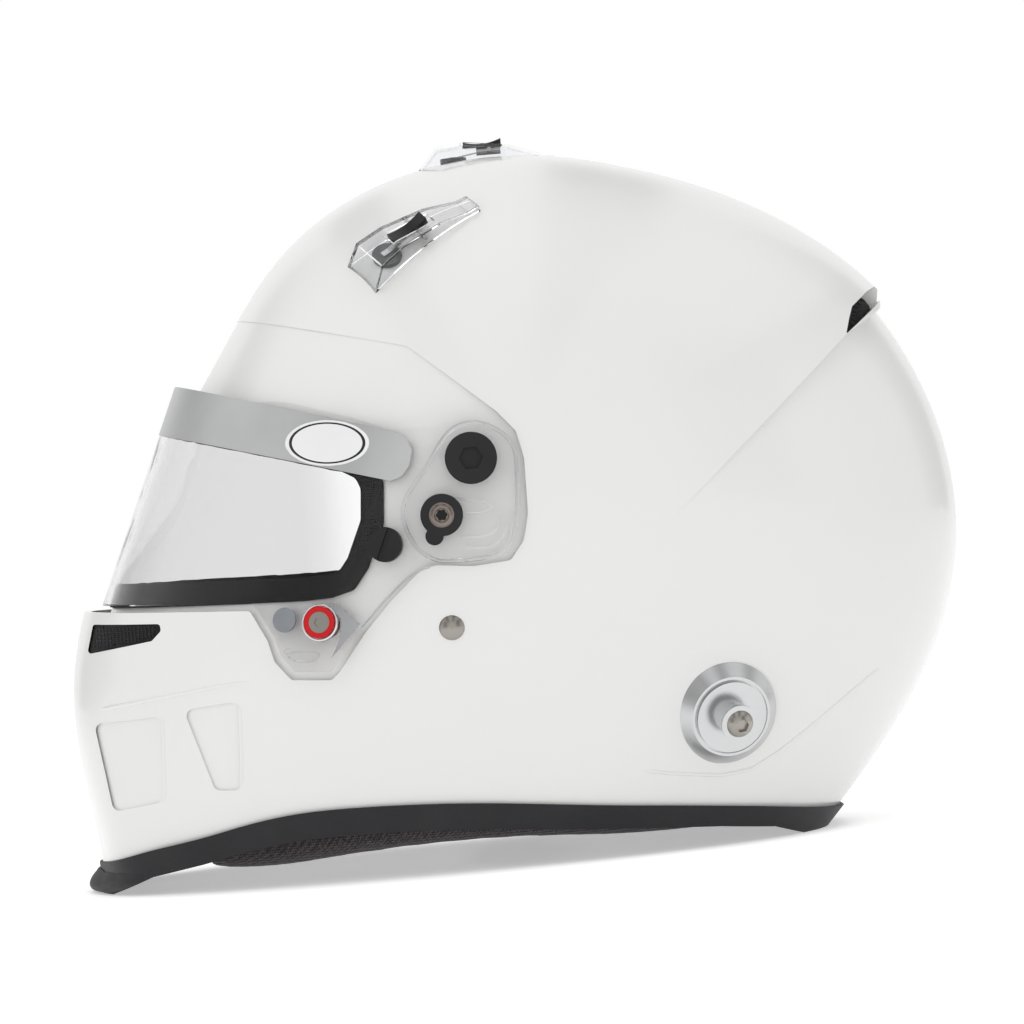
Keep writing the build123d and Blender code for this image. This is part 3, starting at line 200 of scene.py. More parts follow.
def make_tint():
    """A colour between two, by a factor drawn between two levels."""
    tree, start, end = group(
        "tint",
        [
            ("Factor", "NodeSocketFloat", 0.5), ("Low", "NodeSocketColor", (0, 0, 0, 1)),
            ("High", "NodeSocketColor", (1, 1, 1, 1)), ("From", "NodeSocketFloat", 0.0),
            ("To", "NodeSocketFloat", 1.0),
        ],
        [("Colour", "NodeSocketColor")],
    )
    reach = add_node(
        tree, "ShaderNodeMapRange",
        [("Value", start.outputs["Factor"]), ("From Min", start.outputs["From"]),
         ("From Max", start.outputs["To"])],
    )
    blend = add_node(
        tree, "ShaderNodeMix",
        [("Factor", reach.outputs[0]), (6, start.outputs["Low"]), (7, start.outputs["High"])],
        data_type="RGBA",
    )
    tree.links.new(blend.outputs[2], end.inputs["Colour"])
    return tree


GRAIN, WEAVE, TURNED, TINT = make_grain(), make_weave(), make_turned(), make_tint()

# Where a mottle or a shade passes from its dark tone to its pale one
MOTTLE_SPAN, SHADE_SPAN, RING_SPAN = (0.3, 0.7), (0.25, 0.75), (-1.0, 1.0)
STREAKS = {"Scale": 300.0, "Depth": 0.02}
FLOW_SCALE, MOULDED_FLOW, SHEET_FLOW = 40.0, 0.01, 0.004
CLEAR_PALE, SHEET_PALE, SHEET_GLOSS = (0.99, 0.99, 1.0), (0.998, 0.998, 1.0), (0.0, 0.03)
CLOTH_ROUGH, CLOTH_SHEEN_ROUGH, YARN_DISTANCE = 0.92, 0.6, 0.6 * MM


def use(tree, effect, **values):
    """An effect group placed in a material, its inputs set by name."""
    return add_node(tree, "ShaderNodeGroup", list(values.items()), node_tree=effect)


def material(name, **settings):
    """A material with its shader's constant settings."""
    made = bpy.data.materials.new(name)
    made.use_nodes = True
    shader = made.node_tree.nodes["Principled BSDF"]
    for key, value in settings.items():
        shader.inputs[key.replace("_", " ")].default_value = value
    return made, made.node_tree, shader


def tinted(tree, shader, low, high, factor, span):
    """Links a two-tone colour to the shader."""
    settings = {"Low": (*low, 1), "High": (*high, 1), "From": span[0], "To": span[1]}
    tone = use(tree, TINT, Factor=factor, **settings)
    tree.links.new(tone.outputs[0], shader.inputs["Base Color"])


def rougher(tree, shader, factor, gloss):
    """Links a roughness that varies between two values."""
    reach = add_node(
        tree, "ShaderNodeMapRange", [("Value", factor), ("To Min", gloss[0]), ("To Max", gloss[1])]
    )
    tree.links.new(reach.outputs[0], shader.inputs["Roughness"])


def grained(name, low, high, gloss, depth, scale, **settings):
    """A moulded, rubbery or plain metal material: grain, mottled colour and uneven gloss."""
    made, tree, shader = material(name, **settings)
    grain = use(tree, GRAIN, Scale=scale, Depth=depth)
    tree.links.new(grain.outputs["Normal"], shader.inputs["Normal"])
    tinted(tree, shader, low, high, grain.outputs["Mottle"], MOTTLE_SPAN)
    rougher(tree, shader, grain.outputs["Mottle"], gloss)
    return made


def turned_metal(name, centre, axis, low, high, gloss, **settings):
    """Turned metal with lathe rings and streaks about an axis."""
    made, tree, shader = material(name, **settings)
    ring = use(tree, TURNED, Centre=tuple(c * MM for c in centre), Axis=axis)
    grain = use(tree, GRAIN, **STREAKS)
    tree.links.new(ring.outputs["Normal"], shader.inputs["Normal"])
    tree.links.new(ring.outputs["Tangent"], shader.inputs["Tangent"])
    tinted(tree, shader, low, high, ring.outputs["Ring"], RING_SPAN)
    rougher(tree, shader, grain.outputs["Mottle"], gloss)
    return made


def woven(name, low, high, pitch, slant, depth, sheen):
    """A woven or knitted cloth, darker where its yarns dip: painted shade between the yarns, with flecked
    yarn tone.
    """
    made, tree, shader = material(
        name, Roughness=CLOTH_ROUGH, Sheen_Weight=sheen, Sheen_Roughness=CLOTH_SHEEN_ROUGH
    )
    weave = use(tree, WEAVE, Pitch=pitch, Slant=slant)
    bump = add_node(
        tree, "ShaderNodeBump",
        [("Height", weave.outputs["Height"]), ("Strength", depth), ("Distance", YARN_DISTANCE)],
    )
    tree.links.new(bump.outputs[0], shader.inputs["Normal"])
    tinted(tree, shader, low, high, weave.outputs["Shade"], SHADE_SPAN)
    return made


def clear(name, colour, gloss, **settings):
    """Clear moulded plastic with faint flow marks."""
    made, tree, shader = material(name, Transmission_Weight=1.0, **settings)
    grain = use(tree, GRAIN, Scale=FLOW_SCALE, Depth=MOULDED_FLOW)
    tree.links.new(grain.outputs["Normal"], shader.inputs["Normal"])
    tinted(tree, shader, colour, CLEAR_PALE, grain.outputs["Mottle"], MOTTLE_SPAN)
    rougher(tree, shader, grain.outputs["Mottle"], gloss)
    return made


def lens_clear(name, smoke, smoke_ends, **settings):
    """The visor's clear sheet, lightly smoked before the eyes and clear over the ears."""
    made, tree, shader = material(name, Transmission_Weight=1.0, **settings)
    place = add_node(tree, "ShaderNodeTexCoord").outputs["Object"]
    fore_aft = add_node(tree, "ShaderNodeSeparateXYZ", [("Vector", place)]).outputs["Y"]
    grain = use(tree, GRAIN, Scale=FLOW_SCALE, Depth=SHEET_FLOW)
    tree.links.new(grain.outputs["Normal"], shader.inputs["Normal"])
    tinted(tree, shader, smoke, SHEET_PALE, fore_aft, [y * MM for y in smoke_ends])
    rougher(tree, shader, grain.outputs["Mottle"], SHEET_GLOSS)
    return made


lacquer = grained(
    "shell_lacquer", low=(0.797, 0.797, 0.784), high=(0.803, 0.803, 0.791), gloss=(0.27, 0.29),
    depth=0.008, scale=260.0, Coat_Weight=0.5, Coat_Roughness=0.08, Specular_IOR_Level=0.3,
)
edge_rubber = grained(
    "trim_rubber", low=(0.016, 0.016, 0.018), high=(0.026, 0.026, 0.028), gloss=(0.45, 0.6),
    depth=0.25, scale=1400.0, Specular_IOR_Level=0.2,
)
seal_rubber = grained(
    "gasket_rubber", low=(0.006, 0.006, 0.006), high=(0.012, 0.012, 0.012), gloss=(0.5, 0.7),
    depth=0.25, scale=1200.0, Specular_IOR_Level=0.1,
)
foam = grained(
    "impact_foam", low=(0.02, 0.02, 0.021), high=(0.045, 0.045, 0.047), gloss=(0.7, 0.9),
    depth=0.9, scale=420.0,
)
black_plastic = grained(
    "black_plastic", low=(0.010, 0.010, 0.011), high=(0.018, 0.018, 0.020), gloss=(0.3, 0.42),
    depth=0.12, scale=1600.0, Specular_IOR_Level=0.25,
)
flap_plastic = grained(
    "flap_plastic", low=(0.03, 0.032, 0.035), high=(0.055, 0.057, 0.06), gloss=(0.3, 0.45),
    depth=0.15, scale=1500.0,
)
button_plastic = grained(
    "button_plastic", low=(0.50, 0.008, 0.010), high=(0.60, 0.012, 0.014), gloss=(0.2, 0.32),
    depth=0.05, scale=900.0, Specular_IOR_Level=0.25,
)
disc_plastic = grained(
    "disc_plastic", low=(0.15, 0.165, 0.19), high=(0.30, 0.31, 0.33), gloss=(0.3, 0.5),
    depth=0.9, scale=1300.0, Specular_IOR_Level=0.3,
)
badge_white = grained(
    "badge_white", low=(0.82, 0.82, 0.82), high=(0.86, 0.86, 0.86), gloss=(0.2, 0.3),
    depth=0.02, scale=500.0,
)
badge_black = grained(
    "badge_black", low=(0.008, 0.008, 0.009), high=(0.016, 0.016, 0.018), gloss=(0.25, 0.35),
    depth=0.05, scale=500.0,
)
strip_film = grained(
    "strip_film", low=(0.46, 0.465, 0.465), high=(0.54, 0.545, 0.545), gloss=(0.26, 0.40),
    depth=0.03, scale=700.0, Metallic=0.55,
)
wire_black = grained(
    "wire_black", low=(0.012, 0.012, 0.013), high=(0.03, 0.03, 0.032), gloss=(0.35, 0.5),
    depth=0.2, scale=1800.0,
)
# Near-black darker than any real finish: painted shade for the hollows behind the vent wire and in the cam
# screws' sockets
painted_hollow_shade = grained(
    "painted_hollow_shade", low=(0.003, 0.003, 0.003), high=(0.006, 0.006, 0.006), gloss=(0.8, 0.9),
    depth=0.2, scale=900.0,
)
thread = grained(
    "thread", low=(0.07, 0.07, 0.075), high=(0.13, 0.13, 0.14), gloss=(0.6, 0.8),
    depth=0.4, scale=2500.0,
)
liner_cloth = woven(
    "liner_cloth", low=(0.006, 0.005, 0.005), high=(0.085, 0.065, 0.068), pitch=330.0, slant=0.6,
    depth=0.6, sheen=0.15,
)
webbing = woven(
    "webbing", low=(0.008, 0.008, 0.009), high=(0.045, 0.045, 0.05), pitch=300.0, slant=0.2,
    depth=0.8, sheen=0.12,
)
visor_clear = lens_clear("visor_clear", smoke=(0.87, 0.865, 0.87), smoke_ends=(-76.0, -60.0), IOR=1.24)
# The mouldings' clear plastic is tinted grey: painted shade for the dark lines along their edges
moulded_edge_painted_shade = clear("moulded_edge_painted_shade", (0.76, 0.77, 0.78), gloss=(0.0, 0.04), IOR=1.5)
scoop_clear = clear("scoop_clear", (0.90, 0.905, 0.91), gloss=(0.02, 0.06), IOR=1.45)
anchor_metal = turned_metal(
    "anchor_metal", centre=(97.0, 77.2, 51.0), axis=(0.918, 0.281, -0.281),
    low=(0.50, 0.505, 0.51), high=(0.66, 0.665, 0.67), gloss=(0.2, 0.32), Metallic=1.0, Anisotropic=0.75,
)
steel = grained(
    "steel", low=(0.30, 0.28, 0.255), high=(0.42, 0.395, 0.365), gloss=(0.24, 0.32),
    depth=0.03, scale=1100.0, Metallic=1.0,
)
burnished = grained(
    "burnished_steel", low=(0.16, 0.13, 0.115), high=(0.26, 0.22, 0.20), gloss=(0.2, 0.32),
    depth=0.05, scale=1100.0, Metallic=1.0,
)
polished = grained(
    "polished_alloy", low=(0.30, 0.305, 0.315), high=(0.42, 0.425, 0.435), gloss=(0.16, 0.26),
    depth=0.03, scale=600.0, Metallic=1.0,
)
chrome = grained(
    "chrome", low=(0.62, 0.62, 0.63), high=(0.70, 0.70, 0.71), gloss=(0.05, 0.10),
    depth=0.01, scale=400.0, Metallic=1.0,
)

FINISHES = (
    (lacquer, ["shell"]), (edge_rubber, ["rim_trim"]), (seal_rubber, ["eyeport_gasket"]),
    (foam, ["impact_liner", "chin_foam"]), (visor_clear, ["visor"]), (strip_film, ["visor_strip"]),
    (disc_plastic, ["marker_disc"]), (button_plastic, ["lock_button"]),
    (polished, ["lock_wedge"]), (chrome, ["d_ring_upper", "d_ring_lower"]),
    # The vent panels under the wire are painted hollow shade
    (painted_hollow_shade, ["chin_vent_mesh", "exhaust_mesh"]),
    (anchor_metal, sides("anchor_cone") + sides("anchor_post")),
    (steel, ["button_screw", "lock_catch"] + sides("anchor_screw") + sides("anchor_nut")),
    (steel, sides("strap_rivet") + sides("pivot_nut")), (burnished, sides("cam_screw")),
    (black_plastic, sides("cam_ring") + sides("tearoff_post") + sides("pivot_screw")),
)
VENT_FINISHES = (
    (scoop_clear, "vent_housing"), (steel, "vent_axle"), (polished, "vent_clip"),
    (black_plastic, "vent_thumb"), (flap_plastic, "vent_flap"),
)


def finished(name, finish):
    """Gives a node its one material."""
    nodes[name].data.materials.clear()
    nodes[name].data.materials.append(finish)


for finish, names in FINISHES:
    for name in names:
        finished(name, finish)
for place in ("centre", "left", "right"):
    for finish, stem in VENT_FINISHES:
        finished(stem + "_" + place, finish)


# Ways to make and change the scene's own pieces
SOFTENING = 0.5


def as_object(name, verts, faces, finish, smooth=True):
    """A mesh object from points in millimetres."""
    mesh = bpy.data.meshes.new(name)
    mesh.from_pydata([tuple(c * MM for c in v) for v in verts], [], faces)
    mesh.materials.append(finish)
    made = bpy.data.objects.new(name, mesh)
    bpy.context.scene.collection.objects.link(made)
    if smooth:
        mesh.shade_smooth()
    return made


def applied(obj):
    """Applies the object's modifiers to its mesh."""
    deps = bpy.context.evaluated_depsgraph_get()
    mesh = bpy.data.meshes.new_from_object(obj.evaluated_get(deps))
    obj.modifiers.clear()
    obj.data = mesh


def declared(piece, body):
    """Names the body that a piece rides on."""
    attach(piece, body)


def copied(name, node, finish, voxel=0.0, smoothing=0):
    """A copy of a node's mesh, remeshed and smoothed."""
    made = bpy.data.objects.new(name, nodes[node].data.copy())
    bpy.context.scene.collection.objects.link(made)
    made.data.materials.clear()
    made.data.materials.append(finish)
    if voxel:
        remesh = made.modifiers.new("voxels", "REMESH")
        remesh.mode = "VOXEL"
        remesh.voxel_size = voxel * MM
    if smoothing:
        smooth = made.modifiers.new("soften", "SMOOTH")
        smooth.factor, smooth.iterations = SOFTENING, smoothing
    applied(made)
    made.data.shade_smooth()
    return made


def pressed(obj, depth_at):
    """Moves each point along its normal by a depth in millimetres read from its place."""
    mesh = obj.data
    count = len(mesh.vertices)
    points, normals = np.zeros(count * 3), np.zeros(count * 3)
    mesh.vertices.foreach_get("co", points)
    mesh.vertices.foreach_get("normal", normals)
    points, normals = points.reshape(-1, 3), normals.reshape(-1, 3)
    x, y, z = (points / MM).T
    moved = points + normals * (depth_at(x, y, z) * MM)[:, None]
    mesh.vertices.foreach_set("co", moved.ravel())
    mesh.update()


# Soft pieces grow out of copies of their CAD solids: a crown and sewn channels on each cheek pad
PAD_Y, PAD_Z, PAD_SLANT, PAD_SEAM_Z = -68.0, 76.0, 0.25, 62.0
PAD_OUTER, PAD_FADE = 88.0, 22.0
PAD_CROWN, PAD_CROWN_LONG, PAD_CROWN_TALL = 3.0, 46.0, 34.0
PAD_CHANNEL, PAD_CHANNEL_WIDE, PAD_DRAW = 2.6, 2.4, 0.6

# Gathers along the neck roll's mid height
ROLL_Y, ROLL_RADIUS, ROLL_MID, ROLL_REACH = -20.0, 95.0, 18.0, 7.0
ROLL_DRAW, ROLL_GATHER, ROLL_PITCH = 0.7, 0.22, 2.6

# Quilted channels of the comfort liner: a pair fore and aft, and two across that lean back
CROWN_X, CROWN_LEAN, CROWN_ACROSS = 26.0, 0.2, (-10.0, 46.0)
CROWN_CHANNEL, CROWN_CHANNEL_WIDE, CROWN_DRAW = 1.8, 2.2, 0.5


def seam(distance, wide):
    """A sewn channel's depth share at a distance from its line."""
    return np.exp(-((distance / wide) ** 2))


def pad_depth(x, y, z):
    """A cheek pad's crown and its two sewn channels."""
    inner = np.clip((PAD_OUTER - np.abs(x)) / PAD_FADE, 0, 1)
    crown = PAD_CROWN * inner * seam(y - PAD_Y, PAD_CROWN_LONG) * seam(z - PAD_Z, PAD_CROWN_TALL)
    upright = seam(y - PAD_Y + PAD_SLANT * (z - PAD_Z), PAD_CHANNEL_WIDE)
    level = seam(z - PAD_SEAM_Z, PAD_CHANNEL_WIDE)
    return crown - PAD_CHANNEL * inner * (upright + level) - PAD_DRAW


def roll_depth(x, y, z):
    """The neck roll's gathers along its length, deepest at its mid height."""
    along = np.arctan2(y - ROLL_Y, np.abs(x)) * ROLL_RADIUS
    return -ROLL_DRAW - ROLL_GATHER * (1 + np.cos(along / ROLL_PITCH)) * seam(z - ROLL_MID, ROLL_REACH)


def crown_depth(x, y, z):
    """The comfort liner's quilted channels, fore and aft and across."""
    channel = seam(np.abs(x) - CROWN_X, CROWN_CHANNEL_WIDE)
    for place in CROWN_ACROSS:
        channel = channel + seam(y - CROWN_LEAN * z - place, CROWN_CHANNEL_WIDE)
    return -CROWN_DRAW - CROWN_CHANNEL * np.clip(channel, 0, 1)


# Each soft piece: its name, the node it replaces, its voxels, its smoothing, its shape and its fill
PADDING = (
    ("pad_left", "cheek_pad_left", 2.5, 6, pad_depth, 0.7),
    ("pad_right", "cheek_pad_right", 2.5, 6, pad_depth, 0.7),
    ("roll", "neck_roll", 2.0, 3, roll_depth, 0.8),
    ("crown_liner", "comfort_liner", 3.0, 3, crown_depth, 0.5),
)

for name, node, voxel, smoothing, depth_at, fill in PADDING:
    padding = copied(name, node, liner_cloth, voxel, smoothing)
    pressed(padding, depth_at)
    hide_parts(node)
    declared(padding, "helmet")

WEBBING_EDGE, WEBBING_EDGE_STEPS = 0.4, 2
for side in ("left", "right"):
    strap = copied("webbing_" + side, "strap_" + side, webbing)
    edge = strap.modifiers.new("edges", "BEVEL")
    edge.width, edge.segments, edge.limit_method = WEBBING_EDGE * MM, WEBBING_EDGE_STEPS, "ANGLE"
    applied(strap)
    strap.data.shade_smooth()
    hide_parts("strap_" + side)
    declared(strap, "helmet")


# Details laid on a surface, placed by what the photograph shows. A place and its depth are worked out
# from each other in a few passes. Rays that find a face start this far out from the helmet
PASSES = 3
BESIDE, BEHIND, BEFORE, BELOW = 200, 300, -300, -60
BEAD_ROUNDNESS, BEAD_ORDER, BEAD_STEPS = 3, 3, 8


def seen(place, x):
    """The side-view place in millimetres that a pixel of the photograph shows at a depth."""
    scale = PICTURE_WIDE / VIEW_WIDE * VIEW_FAR / (VIEW_FAR - x)
    u, v = (place[0] - PICTURE_WIDE / 2) / scale, (PICTURE_WIDE / 2 - place[1]) / scale
    return VIEW_Y + u * TIP_C + v * TIP_S, VIEW_Z - u * TIP_S + v * TIP_C


def visor_x(y, z, rise=0.0):
    """How far out the visor's outer face lies, grown by a rise."""
    q = (z - PIVOT_Z) * TILT_S - (y - PIVOT_Y) * TILT_C
    a, b = EAR_OUTER + rise, VISOR_OUTER + rise
    return a * math.sqrt(max(0.0, 1 - (q / b) ** 2)) if q > 0 else a


def on_visor(place):
    """The place on the visor's outer face that a pixel of the photograph shows."""
    x = EAR_OUTER
    for _ in range(PASSES):
        y, z = seen(place, x)
        x = visor_x(y, z)
    return x, y, z


def tree_of(name):
    """A ray tree of a node's mesh."""
    mesh = nodes[name].data
    return BVHTree.FromPolygons(
        [v.co.copy() for v in mesh.vertices], [tuple(p.vertices) for p in mesh.polygons]
    )


def landed(tree, start, way):
    """Where a ray in millimetres first meets a tree, or None."""
    place = tree.ray_cast(Vector(start) * MM, Vector(way))[0]
    return None if place is None else tuple(place / MM)


def bead(name, runs, radius, finish, body, closed=False):
    """Round beads along smooth runs of places in millimetres."""
    data = bpy.data.curves.new(name, "CURVE")
    data.dimensions, data.bevel_depth, data.bevel_resolution = "3D", radius * MM, BEAD_ROUNDNESS
    data.use_fill_caps = True
    for run in runs:
        spline = data.splines.new("NURBS")
        spline.points.add(len(run) - 1)
        for point, place in zip(spline.points, run):
            point.co = (*(c * MM for c in place), 1.0)
        spline.order_u, spline.resolution_u = BEAD_ORDER, BEAD_STEPS
        spline.use_cyclic_u, spline.use_endpoint_u = closed, not closed
    data.materials.append(finish)
    piece = bpy.data.objects.new(name, data)
    bpy.context.scene.collection.objects.link(piece)
    declared(piece, body)


# Visor mouldings: on both ears the raised border, the cam's leaf and arcs and the lower rib, and on
# the left a slot's edge under the lock
BORDER_RADIUS, LEAF_RADIUS, RIB_RADIUS, SLOT_RADIUS = 0.8, 0.4, 0.45, 0.4
BORDER_PX = (
    (473, 421), (492, 426), (508, 437), (516, 452), (517, 478), (517, 512), (513, 538), (502, 553),
    (482, 559), (455, 561), (435, 561), (418, 550), (407, 533), (402, 515), (405, 498), (415, 483),
    (430, 461), (443, 438), (455, 426),
)
SLOT_PX = ((289, 652), (303, 651), (318, 652), (319, 656), (314, 661), (303, 662), (293, 661), (288, 657))
LEAF_PX = ((453, 497), (468, 501), (483, 501), (495, 507), (483, 513), (466, 514), (455, 509))
RIBS_PX = (
    ((461, 537), (468, 538), (480, 537), (492, 534), (499, 526), (500, 512)),
    ((463, 546), (468, 548), (476, 549), (490, 548), (503, 540), (508, 524)),
    ((430, 567), (418, 570), (404, 580), (385, 600), (361, 627)),
)


def moulding(name, runs_px, radius, sign=1, closed=False):
    """Grey-tinted clear beads on the visor along runs of pixels, or along their mirrors; their grey is
    painted shade for the mouldings' dark edge lines.
    """
    runs = []
    for run in runs_px:
        places = [on_visor(p) for p in run]
        runs.append([(sign * x, y, z) for x, y, z in places])
    bead(name, runs, radius, moulded_edge_painted_shade, "visor", closed)


for side, sign in SIDES:
    moulding("visor_border_" + side, [BORDER_PX], BORDER_RADIUS, sign, closed=True)
    moulding("visor_leaf_" + side, [LEAF_PX], LEAF_RADIUS, sign, closed=True)
    moulding("visor_ribs_" + side, RIBS_PX, RIB_RADIUS, sign)
moulding("lock_slot", [SLOT_PX], SLOT_RADIUS, closed=True)

# Turned rings: the lock's chrome bezel, and a rounded shoulder on each cam screw's flat head; on each head a
# flat near-black film is painted shade for its six-lobed socket
RING_SPOKES = 64
LOCK, LOCK_WAY = (119.49, -72.20, 99.61), (0.958, -0.261, 0.116)
LOCK_RING = ((6.15, 1.0), (6.15, 1.9), (6.3, 2.15), (6.75, 2.15), (7.1, 1.9), (7.2, 1.0))
CAM_WAY, CAM_SINK = (0.99956, -0.02715, 0.01203), 0.3
CAM_RING = ((2.5, 0.0), (2.5, 0.35), (2.9, 0.75), (3.6, 0.6), (4.15, 0.3), (4.4, 0.0))
# The film of painted socket shade: its lift off the head, its size and its six lobes
RECESS_RISE, RECESS_RADIUS, RECESS_LOBE, RECESS_LOBES, RECESS_POINTS = 0.42, 2.0, 0.3, 6, 24


def ringed(name, centre, way, profile, finish):
    """A turned ring on the visor: a closed profile of radius and height round an axis."""
    way = Vector(way).normalized()
    flat = way.orthogonal().normalized()
    cross = way.cross(flat)
    verts = []
    for k in range(RING_SPOKES):
        turn = 2 * math.pi * k / RING_SPOKES
        out = flat * math.cos(turn) + cross * math.sin(turn)
        verts += [tuple(Vector(centre) + out * r + way * h) for r, h in profile]
    count = len(profile)
    faces = []
    for k in range(RING_SPOKES):
        for i in range(count):
            a, b = k * count + i, k * count + (i + 1) % count
            c, d = (b + count) % len(verts), (a + count) % len(verts)
            faces.append((a, b, c, d))
    declared(as_object(name, verts, faces, finish), "visor")


def cam_socket_painted_shade(name, head, sign):
    """A flat near-black film on a cam screw's head: painted shade standing for its six-lobed socket."""
    rim = []
    for k in range(RECESS_POINTS):
        turn = 2 * math.pi * k / RECESS_POINTS
        r = RECESS_RADIUS + RECESS_LOBE * math.cos(RECESS_LOBES * turn)
        rim.append((head[0] + sign * RECESS_RISE, head[1] + r * math.cos(turn), head[2] + r * math.sin(turn)))
    film = as_object(name, rim, [tuple(range(RECESS_POINTS))], painted_hollow_shade, smooth=False)
    declared(film, "visor")


ringed("lock_bezel", LOCK, LOCK_WAY, LOCK_RING, chrome)
for side, sign in SIDES:
    low, high = (Vector(corner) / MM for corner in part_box("cam_screw_" + side))
    head = (sign * (max(abs(low.x), abs(high.x)) - CAM_SINK), (low.y + high.y) / 2, (low.z + high.z) / 2)
    out = (sign * CAM_WAY[0], CAM_WAY[1], CAM_WAY[2])
    ringed("cam_shoulder_" + side, head, out, CAM_RING, burnished)
    cam_socket_painted_shade("cam_socket_painted_shade_" + side, head, sign)

# Badge: a bare white oval with a dark border, lying on the sun strip on both sides
BADGE_PX, BADGE_END_PX, BADGE_TOP_PX = (327, 443), (285, 441), (331, 420)
BADGE_BORDER = (0.83, 0.90)
BADGE_BANDS = (0.3, 0.6, 0.80, *BADGE_BORDER, 0.93, 1.0)
BADGE_LIFT, BADGE_EDGE_LIFT, BADGE_SPOKES = 0.55, 0.35, 72


def badge(name, sign):
    """An oval film that follows the strip's arch."""
    centre, end, top = (seen(p, on_visor(p)[0]) for p in (BADGE_PX, BADGE_END_PX, BADGE_TOP_PX))
    long = (end[0] - centre[0], end[1] - centre[1])
    tall = (top[0] - centre[0], top[1] - centre[1])
    spokes, verts, faces = BADGE_SPOKES, [], []
    for share in BADGE_BANDS:
        lift = BADGE_LIFT if share < 1 else BADGE_EDGE_LIFT
        for k in range(spokes):
            turn = 2 * math.pi * k / spokes
            c, s = share * math.cos(turn), share * math.sin(turn)
            y = centre[0] + long[0] * c + tall[0] * s
            z = centre[1] + long[1] * c + tall[1] * s
            verts.append((sign * visor_x(y, z, lift), y, z))
    verts.append((sign * visor_x(*centre, BADGE_LIFT), *centre))
    for k in range(spokes):
        after = (k + 1) % spokes
        faces.append((len(verts) - 1, k, after))
        for i in range(len(BADGE_BANDS) - 1):
            a, b = i * spokes + k, i * spokes + after
            faces.append((a, a + spokes, b + spokes, b))
    made = as_object(name, verts, faces, badge_white)
    made.data.materials.append(badge_black)
    for face in made.data.polygons:
        middle = Vector(face.center) / MM
        c = (middle.y - centre[0]) * tall[1] - (middle.z - centre[1]) * tall[0]
        s = (middle.z - centre[1]) * long[0] - (middle.y - centre[0]) * long[1]
        share = math.hypot(c, s) / abs(long[0] * tall[1] - long[1] * tall[0])
        face.material_index = 1 if BADGE_BORDER[0] < share < BADGE_BORDER[1] else 0
    declared(made, "visor")


for side, sign in SIDES:
    badge("badge_" + side, sign)

# Woven wire over the chin vents and the exhaust slots
WIRE, CHIN_PITCH, EXHAUST_PITCH = 0.5, 1.5, 1.6


def lattice(name, node, across, up, pitch, casts):
    """A wire net on a node's outer face, found by parallel rays."""
    tree = tree_of(node)
    verts, faces = [], []
    for start, way in casts:
        found = {}
        rows, columns = int((up[1] - up[0]) / pitch), int((across[1] - across[0]) / pitch)
        for i in range(rows + 1):
            for k in range(columns + 1):
                place = landed(tree, start(across[0] + k * pitch, up[0] + i * pitch), way)
                if place is not None:
                    found[i, k] = len(verts)
                    verts.append(tuple(Vector(place) - Vector(way) * WIRE / 2))
        for i, k in found:
            square = [(i, k), (i, k + 1), (i + 1, k + 1), (i + 1, k)]
            if all(corner in found for corner in square):
                faces.append([found[corner] for corner in square])
    net = as_object(name, verts, faces, wire_black, smooth=False)
    wires = net.modifiers.new("wires", "WIREFRAME")
    wires.thickness, wires.use_even_offset = WIRE * MM, False
    applied(net)
    declared(net, "helmet")


low, high = (Vector(corner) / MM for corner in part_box("chin_vent_mesh"))
side_casts = ((lambda a, b: (BESIDE, a, b), (-1, 0, 0)), (lambda a, b: (-BESIDE, a, b), (1, 0, 0)))
lattice("chin_net", "chin_vent_mesh", (low.y, high.y), (low.z, high.z), CHIN_PITCH, side_casts)
low, high = (Vector(corner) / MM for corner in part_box("exhaust_mesh"))
back_cast = ((lambda a, b: (a, BEHIND, b), (0, -1, 0)),)
lattice("exhaust_net", "exhaust_mesh", (low.x, high.x), (low.z, high.z), EXHAUST_PITCH, back_cast)

# Chin lip: the trim's flare round the front of the chin bar, on the rim's own foot
LIP_OUT, LIP_HALF, LIP_STEP, LIP_INSIDE, LIP_SINK, LIP_LOWEST = 5.4, 66.0, 3.0, 2.5, 0.4, 0.4
LIP_ROUNDING = 2
LIP_SECTION = ((0.3, 0.0), (0.5, 0.70), (2.6, 1.0), (5.0, 0.90), (8.4, 0.42), (12.0, 0.04))
FACE_FOOT, FACE_STEP, FACE_ROWS, FACE_BACK = 0.2, 0.4, 60, -100


def trim_front(tree, x):
    """The heights and depths of the trim's front face at a place across it."""
    starts = [(x, BEFORE, FACE_FOOT + FACE_STEP * k) for k in range(FACE_ROWS)]
    face = [landed(tree, start, (0, 1, 0)) for start in starts]
    return [(place[2], place[1]) for place in face if place is not None and place[1] < FACE_BACK]


def lip_row(face, x):
    """The lip's section at a place across it: a flare that fades to the sides, and a root in the trim."""
    fade = 1 - (x / LIP_HALF) ** 2
    row = []
    for height, share in LIP_SECTION:
        z = face[0][0] + height * (LIP_LOWEST + (1 - LIP_LOWEST) * fade)
        face_y = min(face, key=lambda place: abs(place[0] - z))[1]
        row.append((x, face_y + LIP_SINK - (LIP_OUT * fade + LIP_SINK) * share, z))
    return row + [(x, face[0][1] + LIP_INSIDE, face[0][0] + LIP_INSIDE)]


def chin_lip():
    """The lip as one closed and rounded form."""
    tree = tree_of("rim_trim")
    verts, faces, rows = [], [], int(2 * LIP_HALF / LIP_STEP) + 1
    for i in range(rows):
        x = -LIP_HALF + i * LIP_STEP
        verts += lip_row(trim_front(tree, x), x)
    count = len(LIP_SECTION) + 1
    for i in range(rows - 1):
        for k in range(count):
            a, b = i * count + k, i * count + (k + 1) % count
            faces.append((a, b, b + count, a + count))
    faces += [tuple(range(count)), tuple((rows - 1) * count + k for k in reversed(range(count)))]
    lip = as_object("chin_lip", verts, faces, edge_rubber)
    rounded = lip.modifiers.new("rounded", "SUBSURF")
    rounded.levels = rounded.render_levels = LIP_ROUNDING
    applied(lip)
    declared(lip, "helmet")


chin_lip()

